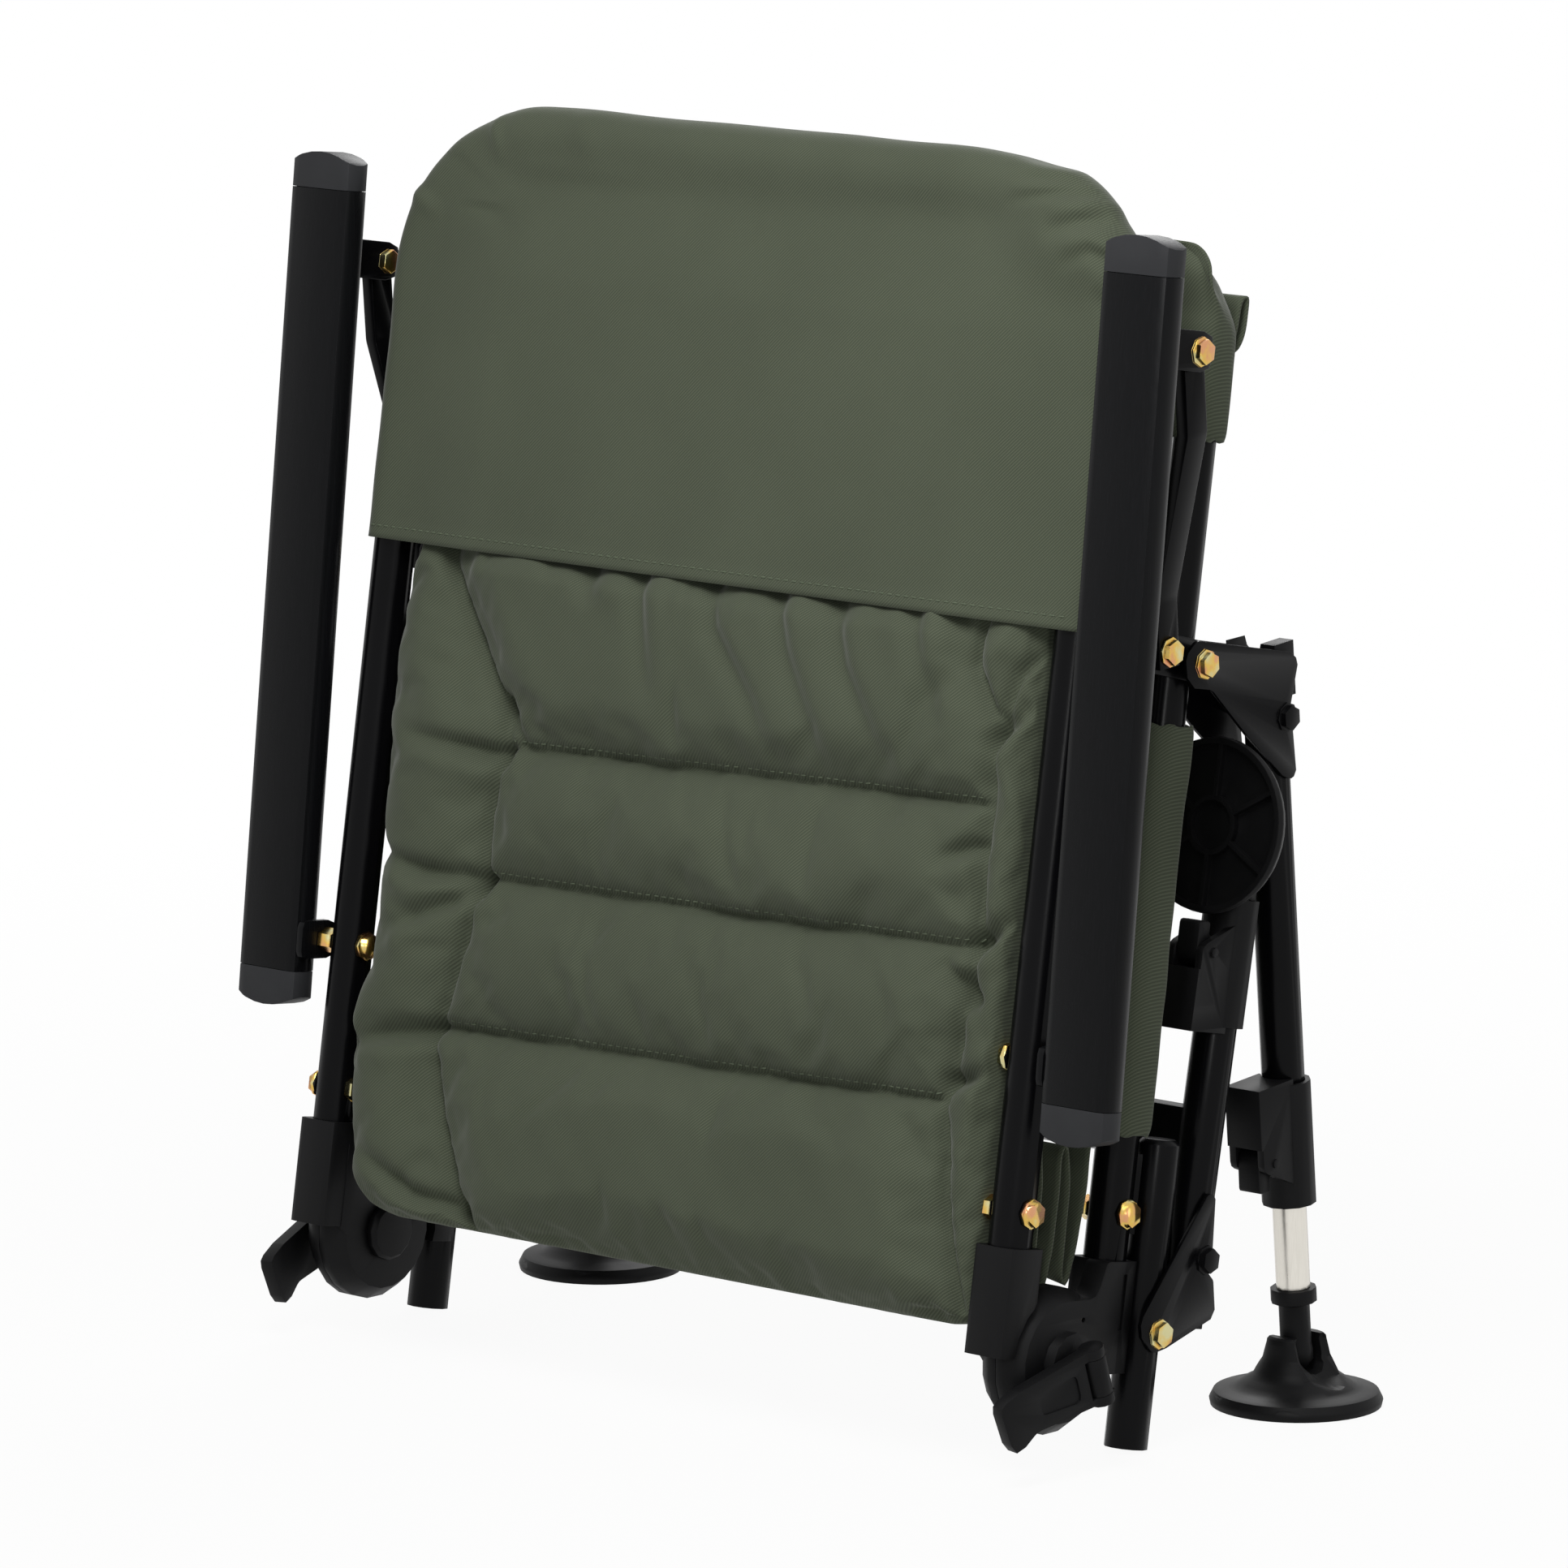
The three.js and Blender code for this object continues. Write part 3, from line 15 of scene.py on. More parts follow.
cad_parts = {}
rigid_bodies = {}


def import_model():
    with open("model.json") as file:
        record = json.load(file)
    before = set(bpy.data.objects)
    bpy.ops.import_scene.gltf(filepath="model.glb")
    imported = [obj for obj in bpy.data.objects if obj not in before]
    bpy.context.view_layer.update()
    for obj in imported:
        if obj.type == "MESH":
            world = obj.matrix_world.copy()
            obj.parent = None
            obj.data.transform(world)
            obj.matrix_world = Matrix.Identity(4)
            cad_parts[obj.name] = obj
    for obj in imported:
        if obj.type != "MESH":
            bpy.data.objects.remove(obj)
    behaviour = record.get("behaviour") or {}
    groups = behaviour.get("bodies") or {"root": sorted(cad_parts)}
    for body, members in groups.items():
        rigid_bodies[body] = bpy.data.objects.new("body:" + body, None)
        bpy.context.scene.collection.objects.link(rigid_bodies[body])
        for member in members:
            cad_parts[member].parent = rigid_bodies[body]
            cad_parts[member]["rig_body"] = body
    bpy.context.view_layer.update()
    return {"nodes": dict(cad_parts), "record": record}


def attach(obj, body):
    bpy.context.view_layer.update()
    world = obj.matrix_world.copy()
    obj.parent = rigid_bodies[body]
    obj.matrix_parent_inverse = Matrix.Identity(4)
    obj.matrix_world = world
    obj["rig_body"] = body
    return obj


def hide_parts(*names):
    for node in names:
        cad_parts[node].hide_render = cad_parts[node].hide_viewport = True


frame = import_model()
scene = bpy.context.scene

# %% [markdown]
# The folded chair leans back as one stack. It is easiest to model in the stack's own directions: x across,
# p away from the seat's tubes towards the back, q up along the tubes. One matrix leans it into place.
# %% The leaning stack
MM = 0.001
LEAN_DEG = 9.34
STACK_Y_MM = -56.556
LEAN = Matrix.Translation((0, STACK_Y_MM * MM, 0)) @ Matrix.Rotation(-math.radians(LEAN_DEG), 4, "X")
LEAN_BACK = LEAN.inverted()
print("stack leans back by", LEAN_DEG, "degrees")

# %% [markdown]
# Colours are written as the hex values that a paint chart would give. Blender mixes light in linear
# values, so one function turns each pair of hex digits into a linear number.
# %% Colour and node helpers
HEX_STEPS = 255
HEX_PAIRS = (1, 3, 5)


def linear(hex_colour):
    shares = [int(hex_colour[i : i + 2], 16) / HEX_STEPS for i in HEX_PAIRS]
    low, slope, lift, power = 0.04045, 12.92, 0.055, 2.4
    return [s / slope if s <= low else ((s + lift) / (1 + lift)) ** power for s in shares] + [1]


def node(tree, kind, settings=None, links=None):
    """Adds a node, sets its properties and inputs, and links its inputs to other nodes' outputs."""
    made = tree.nodes.new("ShaderNode" + kind)
    for key, value in (settings or {}).items():
        if isinstance(key, str) and hasattr(made, key):
            setattr(made, key, value)
        else:
            made.inputs[key].default_value = value
    for key, output in (links or {}).items():
        tree.links.new(output, made.inputs[key])
    return made


def finish(name, colour, roughness, metallic=0.0, **extra):
    """A material with its principled shader, and the object coordinates that its patterns read."""
    material = bpy.data.materials.new(name)
    material.use_nodes = True
    tree = material.node_tree
    shader = tree.nodes["Principled BSDF"]
    shader.inputs["Base Color"].default_value = linear(colour)
    shader.inputs["Roughness"].default_value = roughness
    shader.inputs["Metallic"].default_value = metallic
    for key, value in extra.items():
        shader.inputs[key.replace("_", " ")].default_value = value
    place = node(tree, "TexCoord").outputs["Object"]
    return material, tree, shader, place


def stained(tree, shader, factor, light, dark):
    """Mixes two near colours by a pattern, so that a surface is never one flat colour."""
    mix = node(tree, "Mix", {"data_type": "RGBA"}, {0: factor})
    mix.inputs[6].default_value = linear(dark)
    mix.inputs[7].default_value = linear(light)
    tree.links.new(mix.outputs[2], shader.inputs["Base Color"])


def raised(tree, shader, height, depth_mm, strength):
    bump = node(tree, "Bump", {"Strength": strength, "Distance": depth_mm * MM}, {"Height": height})
    tree.links.new(bump.outputs["Normal"], shader.inputs["Normal"])


def worn(tree, shader, pattern, roughness, light, dark):
    """Lets one pattern vary the roughness between two values and mix two near colours."""
    low, high = roughness
    varied = node(tree, "MapRange", {"To Min": low, "To Max": high}, {"Value": pattern})
    tree.links.new(varied.outputs["Result"], shader.inputs["Roughness"])
    stained(tree, shader, pattern, light, dark)


# %% [markdown]
# The steel tubes and plates are powder coated: a sprayed plastic skin, baked until it flows. It is nearly
# black and glossy, but not quite flat, so reflections waver a little over a few millimetres.
# %% Powder-coated steel
PEEL_MM = 2.5
PATCH_MM = 71.43
enamel, tree, shader, place = finish("powder_coated_steel", "#060608", 0.22, Specular_IOR_Level=0.09)
peel = node(tree, "TexNoise", {"Scale": 1 / (PEEL_MM * MM), "Detail": 1.0}, {"Vector": place})
raised(tree, shader, peel.outputs["Fac"], depth_mm=0.05, strength=0.25)
patches = node(tree, "TexNoise", {"Scale": 1 / (PATCH_MM * MM), "Detail": 3.0}, {"Vector": place})
worn(tree, shader, patches.outputs["Fac"], (0.17, 0.33), "#08080A", "#050506")

# %% [markdown]
# The armrests are flat aluminium profiles, pressed through a die that leaves fine lines along them. Their
# satin black coat is a little greyer than the tubes and shows the lines as a soft, drawn-out highlight.
# %% Satin-coated aluminium profile
DIE_LINE_MM, DIE_LINE_LONG_MM = 1.111, 83.33


def drawn_lines(tree, place, wide_mm, long_mm):
    """Noise that is stretched upwards, as the armrests and legs stand: the fine lines that a die leaves."""
    scale = (1 / (wide_mm * MM), 1 / (wide_mm * MM), 1 / (long_mm * MM))
    drawn = node(tree, "Mapping", {"Scale": scale}, {"Vector": place})
    lines = node(tree, "TexNoise", {"Scale": 1.0, "Detail": 2.0}, {"Vector": drawn.outputs["Vector"]})
    return lines.outputs["Fac"]


armrest_coat, tree, shader, place = finish("satin_coated_profile", "#0D0D0F", 0.26, Specular_IOR_Level=0.09)
lines = drawn_lines(tree, place, DIE_LINE_MM, DIE_LINE_LONG_MM)
raised(tree, shader, lines, depth_mm=0.02, strength=0.2)
worn(tree, shader, lines, (0.2, 0.32), "#0F0F11", "#090A0B")

# %% [markdown]
# Hinges, clamps and mud feet are injection moulded in glass-filled nylon. The mould is spark eroded, which
# gives a fine, even grain and a dull dark grey. The real grain is finer than it is drawn here.
# %% Moulded nylon
GRAIN_MM = 0.8
WEAR_MM = 25
SMOOTHER, ROUGHER = 0.07, 0.08


def moulded(name, base, light, dark, roughness):
    material, tree, shader, place = finish(name, base, roughness, Specular_IOR_Level=0.12)
    grain = node(tree, "TexNoise", {"Scale": 1 / (GRAIN_MM * MM), "Detail": 2.0}, {"Vector": place})
    raised(tree, shader, grain.outputs["Fac"], depth_mm=0.08, strength=0.35)
    wear = node(tree, "TexNoise", {"Scale": 1 / (WEAR_MM * MM), "Detail": 4.0}, {"Vector": place})
    worn(tree, shader, wear.outputs["Fac"], (roughness - SMOOTHER, roughness + ROUGHER), light, dark)
    return material


nylon = moulded("glass_filled_nylon", "#0C0C0D", "#0F0F10", "#09090A", 0.5)
cap_plastic = moulded("polypropylene_end_cap", "#2C2C2F", "#323335", "#262628", 0.5)

# %% [markdown]
# The sliding inner legs are bare drawn aluminium. Drawing leaves fine lines along the tube, which stretch
# the highlight across it.
# %% Drawn aluminium
DRAW_LINE_MM, DRAW_LINE_LONG_MM = 0.5, 166.7
aluminium, tree, shader, place = finish("drawn_aluminium", "#EDE9E0", 0.34, 1.0)
lines = drawn_lines(tree, place, DRAW_LINE_MM, DRAW_LINE_LONG_MM)
raised(tree, shader, lines, depth_mm=0.02, strength=0.25)
worn(tree, shader, lines, (0.24, 0.38), "#EAE6DD", "#D2CEC5")

# %% [markdown]
# The flange bolts are zinc plated and yellow passivated. The thin film turns gold, with pink and green
# tints where it is thicker or thinner.
# %% Yellow zinc plate
TINT_MM = 13.33
zinc, tree, shader, place = finish("yellow_zinc_plate", "#C9A24B", 0.24, 1.0)
film = node(tree, "TexNoise", {"Scale": 1 / (TINT_MM * MM), "Detail": 3.0}, {"Vector": place})
ramp = node(tree, "ValToRGB", {}, {"Fac": film.outputs["Fac"]})
tints = ((0.38, "#D39A70"), (0.5, "#D8B45C"), (0.62, "#CDC695"))
ramp.color_ramp.elements.new(0.5)
for stop, (where, tint) in zip(ramp.color_ramp.elements, tints):
    stop.position, stop.color = where, linear(tint)
tree.links.new(ramp.outputs["Color"], shader.inputs["Base Color"])

# %% [markdown]
# All the cloth is one polyester twill. Twill is woven so that each row of threads steps one thread
# sideways, which shows as fine diagonal ribs. The real ribs are a little under a millimetre apart, and they
# are drawn somewhat coarser so that they show. Fine fibres catch light at the edges, which sheen gives. The
# pattern doesn't read the depth, so that the ribs stay straight where the cloth bulges.
# %% Polyester twill
# A wave texture of scale 1 turns by 10 radians per metre.
RIB_MM, WAVE_RADIANS = 1.3, 10
FADE_MM = 90.9
CROSS_LOW, RIB_TONE = 0.55, 0.55


def twill(name, light, dark):
    material, tree, shader, place = finish(name, light, 0.88, Sheen_Weight=0.12, Sheen_Roughness=0.4)
    shader.inputs["Specular IOR Level"].default_value = 0.25
    scale = math.tau / (WAVE_RADIANS * math.sqrt(2) * RIB_MM * MM)
    turned = node(tree, "Mapping", {"Scale": (-1.0, 0.0, 1.0)}, {"Vector": place})
    flat = node(tree, "Mapping", {"Scale": (1.0, 0.0, 1.0)}, {"Vector": place})
    bands = {"bands_direction": "DIAGONAL", "Scale": scale}
    ribs = node(tree, "TexWave", bands, {"Vector": turned.outputs["Vector"]})
    cross = node(tree, "TexWave", {**bands, "Scale": scale * 2}, {"Vector": flat.outputs["Vector"]})
    cross = node(tree, "MapRange", {"To Min": CROSS_LOW}, {"Value": cross.outputs["Fac"]})
    both = {0: ribs.outputs["Fac"], 1: cross.outputs["Result"]}
    weave = node(tree, "Math", {"operation": "MULTIPLY"}, both)
    fade = node(tree, "TexNoise", {"Scale": 1 / (FADE_MM * MM), "Detail": 3.0}, {"Vector": place})
    fade = node(tree, "MapRange", {"To Min": 0.1, "To Max": 0.35}, {"Value": fade.outputs["Fac"]})
    both = {0: weave.outputs["Value"], 2: fade.outputs["Result"]}
    tone = node(tree, "Math", {"operation": "MULTIPLY_ADD", 1: RIB_TONE}, both)
    stained(tree, shader, tone.outputs["Value"], light, dark)
    raised(tree, shader, weave.outputs["Value"], depth_mm=0.12, strength=0.5)
    return material


olive = twill("olive_polyester_twill", "#5E6553", "#2D3227")
thread, _, _, _ = finish("olive_sewing_thread", "#4A5340", 0.7)

# %% [markdown]
# ## Rigid pieces
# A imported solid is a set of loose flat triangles. A copy of it is merged, its flat faces are joined, its
# edges get a small bevel, and its round faces are shaded smooth. The copy then stands for the solid.
# %% Helpers for selecting and copying
NODES = frame["nodes"]
BODY_OF = {n: o["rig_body"] for n, o in NODES.items()}
SLOT_OF = {s["node"]: s["material_slot"] for s in frame["record"]["subparts"]}


def only(piece):
    """Deselects everything and makes one object the active, selected one."""
    bpy.ops.object.select_all(action="DESELECT")
    piece.select_set(True)
    bpy.context.view_layer.objects.active = piece


def edit(piece, *steps):
    """Runs edit-mode operators on the whole mesh of a piece."""
    only(piece)
    bpy.ops.object.mode_set(mode="EDIT")
    bpy.ops.mesh.select_all(action="SELECT")
    for operator, settings in steps:
        operator(**settings)
    bpy.ops.object.mode_set(mode="OBJECT")


def modified(piece, kind, **settings):
    """Gives a piece a modifier with its settings and applies it."""
    only(piece)
    modifier = piece.modifiers.new(kind.lower(), kind)
    for key, value in settings.items():
        setattr(modifier, key, value)
    bpy.ops.object.modifier_apply(modifier=modifier.name)


def co_of(piece):
    """The places of a piece's points, in mm."""
    co = np.zeros(len(piece.data.vertices) * 3, np.float32)
    piece.data.vertices.foreach_get("co", co)
    return co.reshape(-1, 3).astype(float) / MM


def set_co(piece, co):
    piece.data.vertices.foreach_set("co", (co * MM).astype(np.float32).ravel())
    piece.data.update()


def coat(piece, material):
    piece.data.materials.clear()
    piece.data.materials.append(material)


def carry(piece, body, slot_name, *stands_for):
    """Lets a piece ride on its body and hides the solids it stands for. Its slot_name is not used."""
    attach(piece, body)
    if stands_for:
        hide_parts(*stands_for)
    return piece


# %% Dress a solid
MERGE_MM = 0.002
FLAT_DEG = 0.6
SMOOTH_DEG = 47
BEVEL_FROM_DEG = 40
WIDE_BEVEL_MM = 1
AT_RIM = 0.995


def rounded(piece, sides):
    """Moves the flats of a turned form out to its circle. The form's shortest direction is its axis."""
    co = co_of(piece)
    middle = co.mean(axis=0)
    _, axes = np.linalg.eigh((co - middle).T @ (co - middle))
    angle = np.arctan2((co - middle) @ axes[:, 2], (co - middle) @ axes[:, 1])
    reach = np.hypot((co - middle) @ axes[:, 2], (co - middle) @ axes[:, 1])
    rim = angle[reach > AT_RIM * reach.max()]
    phase = np.angle(np.mean(np.exp(1j * rim * sides))) / sides
    edit(piece, (bpy.ops.mesh.subdivide, {"number_cuts": 2}))
    out = co_of(piece) - middle
    step = math.tau / sides
    from_flat = (np.arctan2(out @ axes[:, 2], out @ axes[:, 1]) - phase) % step - step / 2
    grow = np.cos(from_flat) / math.cos(step / 2)
    along = np.outer(out @ axes[:, 0], axes[:, 0])
    set_co(piece, middle + along + (out - along) * grow[:, None])


def dressed(name, material, bevel_mm=0.0, sides=0):
    piece = bpy.data.objects.new(name + "_dressed", NODES[name].data.copy())
    scene.collection.objects.link(piece)
    edit(piece, (bpy.ops.mesh.remove_doubles, {"threshold": MERGE_MM * MM}))
    if sides:
        rounded(piece, sides)
    else:
        edit(piece, (bpy.ops.mesh.dissolve_limited, {"angle_limit": math.radians(FLAT_DEG)}))
    coat(piece, material)
    if bevel_mm:
        steps = 3 if bevel_mm > WIDE_BEVEL_MM else 2
        corner = {"angle_limit": math.radians(BEVEL_FROM_DEG), "miter_outer": "MITER_ARC"}
        modified(piece, "BEVEL", width=bevel_mm * MM, segments=steps, **corner)
    only(piece)
    bpy.ops.object.shade_smooth_by_angle(angle=math.radians(SMOOTH_DEG))
    return carry(piece, BODY_OF[name], SLOT_OF[name], name)


# %% [markdown]
# Each bolt is one solid with the tube or plate that it is fastened to. Its faces are found by place: all
# those within a bolt head's radius of the bolt's axis and outside the plates.
# %% Plate the bolts
HEAD_MM = 8.3


def plated(piece, bolts):
    """Gives the faces of the bolts at (p, q, from |x|, to |x|) the zinc finish."""
    piece.data.materials.append(zinc)
    for face in piece.data.polygons:
        x = face.center.x / MM
        corners = [(LEAN_BACK @ piece.data.vertices[corner].co) / MM for corner in face.vertices]
        for at_p, at_q, low, high in bolts:
            near = all(math.hypot(p - at_p, q - at_q) < HEAD_MM for _, p, q in corners)
            if near and low < abs(x) < high:
                face.material_index = 1


print("helpers are ready")

# %% [markdown]
# Every rigid solid gets its copy, with a bevel that fits its size. The bolts that are one solid with a tube
# or a plate get their own finish straight after.
# %% Dress the frame, hinges, legs and armrests
SIDES = ("left", "right")
LEGS = ("front", "rear")
TUBE_IN_MM, TUBE_OUT_MM = 218.2, 239.8
SEAT_BOLT, BACK_BOLT, ARM_BOLT = (0, 122.5), (-75, 122.5), (-76, 197)
HEAD_END_MM, ARM_HEAD_END_MM = 260, 256
STRUT_BOLT, STRUT_HEAD_MM = (-30, 402), (252.1, 262)
BRACKET_BOLT, BRACKET_NUT_MM, BRACKET_HEAD_MM = (-66, 550), (255, 264.1), (279.9, 290)


def out_of_tube(bolt, end_mm):
    """The two ends of a bolt that goes across a frame tube, from and to |x|."""
    return [(*bolt, 0, TUBE_IN_MM), (*bolt, TUBE_OUT_MM, end_mm)]


plated(dressed("seat_frame_tube", enamel), out_of_tube(SEAT_BOLT, HEAD_END_MM))
back_bolts = out_of_tube(BACK_BOLT, HEAD_END_MM) + out_of_tube(ARM_BOLT, ARM_HEAD_END_MM)
plated(dressed("backrest_frame_tube", enamel), back_bolts)
BOLTS = {
    "strut_anchor_plate": [(*STRUT_BOLT, *STRUT_HEAD_MM)],
    "armrest_bracket": [(*BRACKET_BOLT, *BRACKET_NUT_MM), (*BRACKET_BOLT, *BRACKET_HEAD_MM)],
}
# A material, the width of its bevels in mm, and the pieces on each side that have both.
SIDE_PIECES = (
    (enamel, 0.6, "rear_stub"),
    (enamel, 0.5, "strut_anchor_plate"),
    (enamel, 0.4, "armrest_bracket"),
    (enamel, 0.8, "armrest_strut"),
    (armrest_coat, 0.5, "armrest_tube"),
    (nylon, 0.7, "seat_hinge_housing", "back_hinge_housing", "recline_lever"),
    (nylon, 0.3, "hinge_axle"),
    (cap_plastic, 1.2, "armrest_front_cap", "armrest_rear_cap"),
)
for side in SIDES:
    for material, bevel_mm, *names in SIDE_PIECES:
        for name in names:
            piece = dressed(f"{name}_{side}", material, bevel_mm)
            if name in BOLTS:
                plated(piece, BOLTS[name])

# %% [markdown]
# The folding legs: each has a steel frame, plates that carry its pivot, and plastic clips, clamps and feet.
# %% Dress the folding legs
FOOT_SIDES = 16
LEG_PIVOTS = {"front": (0, 397.2), "rear": (21.6, 64.1)}
NUT_TO_MM = {"front": 215.72, "rear": 224.72}
NUT_FROM_MM, LEG_HEAD_MM = 200, (250.9, 262)
STEEL_BEVEL_MM, CLAMP_BEVEL_MM, FOOT_BEVEL_MM = 0.5, 0.6, 0.5
for leg in LEGS:
    dressed(f"{leg}_leg_frame", enamel, STEEL_BEVEL_MM)
    for side in SIDES:
        bracket = dressed(f"{leg}_leg_bracket_{side}", enamel, STEEL_BEVEL_MM)
        bolt = LEG_PIVOTS[leg]
        plated(bracket, [(*bolt, *LEG_HEAD_MM), (*bolt, NUT_FROM_MM, NUT_TO_MM[leg])])
        for piece in ("leg_clip", "leg_clamp", "clamp_lever", "foot_socket"):
            dressed(f"{leg}_{piece}_{side}", nylon, CLAMP_BEVEL_MM)
        dressed(f"{leg}_foot_base_{side}", nylon, FOOT_BEVEL_MM, FOOT_SIDES)
        dressed(f"{leg}_inner_leg_{side}", aluminium)

# %% [markdown]
# ## Cloth
# A sewn cushion is two layers of cloth with filling between them. Every seam holds the layers together, and
# the filling pushes them apart between the seams. So the making goes the same way: a plain block with even
# faces, its seams drawn in, then a cloth simulation that blows it up while the seams stay held.
# %% A block with even faces
VOXEL_MM = 4.5
CORNER_STEPS, EDGE_STEPS, EDGE_FROM_DEG = 6, 4, 60
MOSTLY = 0.9


def even_block(name, low, high, corners, edge_mm):
    """A block between two places (x, p, q). Its corners are (side of x, side of q, radius)."""
    centre = Vector([(a + b) / 2 * MM for a, b in zip(low, high)])
    size = [(b - a) * MM for a, b in zip(low, high)]
    bpy.ops.mesh.primitive_cube_add(size=1, location=centre, scale=size)
    piece = bpy.context.object
    piece.name = name
    bpy.ops.object.transform_apply(location=True, rotation=True, scale=True)
    bpy.ops.object.mode_set(mode="EDIT")
    bpy.ops.mesh.select_mode(type="EDGE")
    for side_x, side_q, radius in corners:
        bpy.ops.mesh.select_all(action="DESELECT")
        shape = bmesh.from_edit_mesh(piece.data)
        for edge in shape.edges:
            run = edge.verts[1].co - edge.verts[0].co
            middle = (edge.verts[0].co + edge.verts[1].co) / 2 - centre
            here = middle.x * side_x > 0 and middle.z * side_q > 0
            edge.select = here and abs(run.y) > MOSTLY * run.length
        bmesh.update_edit_mesh(piece.data)
        bpy.ops.mesh.bevel(offset=radius * MM, segments=CORNER_STEPS)
    bpy.ops.object.mode_set(mode="OBJECT")
    limit = math.radians(EDGE_FROM_DEG)
    modified(piece, "BEVEL", width=edge_mm * MM, segments=EDGE_STEPS, angle_limit=limit)
    piece.data.remesh_voxel_size = VOXEL_MM * MM
    bpy.ops.object.voxel_remesh()
    return piece


# %% [markdown]
# Seams are drawn as lines across and up the stack. A place's depth depends on how far it is from the
# nearest seam: filling rounds the cloth up from a seam like a quarter of a circle.
# %% Seam lines and the swell between them
FAR_MM, TINY = 1e6, 1e-6


def distance_to(x, q, lines):
    """How far each place is from the nearest of the lines, each a list of (x, q) points."""
    nearest = np.full(len(x), FAR_MM)
    for line in lines:
        for (ax, aq), (bx, bq) in zip(line, line[1:]):
            run = np.array((bx - ax, bq - aq), float)
            share = np.clip(((x - ax) * run[0] + (q - aq) * run[1]) / (run @ run), 0, 1)
            nearest = np.minimum(nearest, np.hypot(x - ax - share * run[0], q - aq - share * run[1]))
    return nearest


def risen(value, start, end):
    """0 where a value is before start, 1 where it is past end, and a straight slope between."""
    return np.clip((value - start) / (end - start), 0, 1)


def eased(value, start, end):
    """The same slope with a soft start and end."""
    share = risen(value, start, end)
    return share * share * (3 - 2 * share)


def swell(distance, reach):
    return np.sqrt(1 - (1 - risen(distance, 0, reach)) ** 2)


def ripple(u, seed):
    """A smooth wandering line between about -1 and 1, always the same for the same seed."""
    waves = ((1.0, 0.0), (1.73, 2.1), (2.61, 4.4), (0.47, 1.3))
    return sum(np.sin(rate * u + phase + seed * 1.7) for rate, phase in waves) / 3


def groove(distance, width):
    """1 at no distance, fading to 0 within about two widths."""
    return np.exp(-((distance / width) ** 2))


def crease(x, q, line, width):
    """A groove along a line, fading from the line's start to its end."""
    start, end = np.array(line[0], float), np.array(line[-1], float)
    run = end - start
    share = np.clip(((x - start[0]) * run[0] + (q - start[1]) * run[1]) / (run @ run), 0, 1)
    return groove(distance_to(x, q, [line]), width) * (1 - share**2)


# %% [markdown]
# The simulation is Blender's Cloth with an inner pressure and no gravity. The seams are its pinned points,
# and a slightly growing cloth gives it something to crease with. No point may move further than a cap.
# %% Blow up a cushion
PRESSURE, GROWTH, BENDING, FRAMES = 4.0, 0.03, 0.2, 20


def blow_up(piece, pinned, cap_mm):
    start = co_of(piece)
    held = piece.vertex_groups.new(name="held")
    held.add([int(i) for i in np.flatnonzero(pinned)], 1.0, "ADD")
    cloth = piece.modifiers.new("cloth", "CLOTH")
    cloth.settings.vertex_group_mass = held.name
    cloth.settings.use_pressure = True
    cloth.settings.uniform_pressure_force = PRESSURE
    cloth.settings.shrink_min = -GROWTH
    cloth.settings.effector_weights.gravity = 0
    cloth.settings.bending_stiffness = BENDING
    cloth.collision_settings.use_collision = False
    for frame_number in range(1, FRAMES + 1):
        scene.frame_set(frame_number)
    only(piece)
    bpy.ops.object.modifier_apply(modifier=cloth.name)
    scene.frame_set(1)
    moved = co_of(piece) - start
    far = np.linalg.norm(moved, axis=1, keepdims=True)
    moved *= np.minimum(1, cap_mm / np.maximum(far, TINY))
    set_co(piece, start + moved)
    print(piece.name, "moved up to", round(float(far.max()), 1), "mm, capped at", cap_mm)


def finer(piece):
    modified(piece, "SUBSURF", levels=1)
    bpy.ops.object.shade_smooth()


def lean_and_carry(piece, body, *stands_for):
    piece.data.transform(LEAN)
    coat(piece, olive)
    return carry(piece, body, "olive_cloth", *stands_for)


# %% [markdown]
# Sewing draws the cloth together a little with every stitch, so short folds stand square to the seam and
# fade within a few centimetres. They are added last, when the faces are fine enough to hold them.
# %% Puckers along the seams
PUCKER_SPACING_MM = 17
PUCKER_FADE_MM = 9
MIDDLE_RATE = 1.6
PATCH_PUCKERS, PATCH_SHARE = 4.3, 0.45


def puckers(x, q, lines, seed=0):
    total = np.zeros(len(x))
    for number, line in enumerate(lines):
        level = abs(line[-1][0] - line[0][0]) > abs(line[-1][1] - line[0][1])
        along = (x if level else q) * math.tau / PUCKER_SPACING_MM / MIDDLE_RATE
        away = distance_to(x, q, [line])
        patchy = 1 - PATCH_SHARE + PATCH_SHARE * ripple(along / PATCH_PUCKERS, seed + 3 * number)
        total += np.exp(-away / PUCKER_FADE_MM) * patchy * ripple(along, seed + number)
    return total


# %% [markdown]
# The thread shows as a row of short dashes along each seam. One stitch is modelled, and copies of it are
# laid on the cloth: each place on the seam is looked up on the surface, seen from before or behind the
# stack, so that no stitch hangs or sinks.
# %% A row of stitches
STITCH_MM = (3.0, 0.8, 0.9)
STITCH_PITCH_MM = 5.2
STITCH_LIFT_MM = 0.1
ROUND_SHARE = 0.35
BEFORE, BEHIND = (-200, 1), (50, -1)
ROW_X_MM = 236


def one_stitch():
    bpy.ops.mesh.primitive_cube_add(size=1, scale=[v * MM for v in STITCH_MM])
    stitch = bpy.context.object
    bpy.ops.object.transform_apply(location=True, rotation=True, scale=True)
    modified(stitch, "BEVEL", width=STITCH_MM[1] * ROUND_SHARE * MM, segments=1)
    return stitch


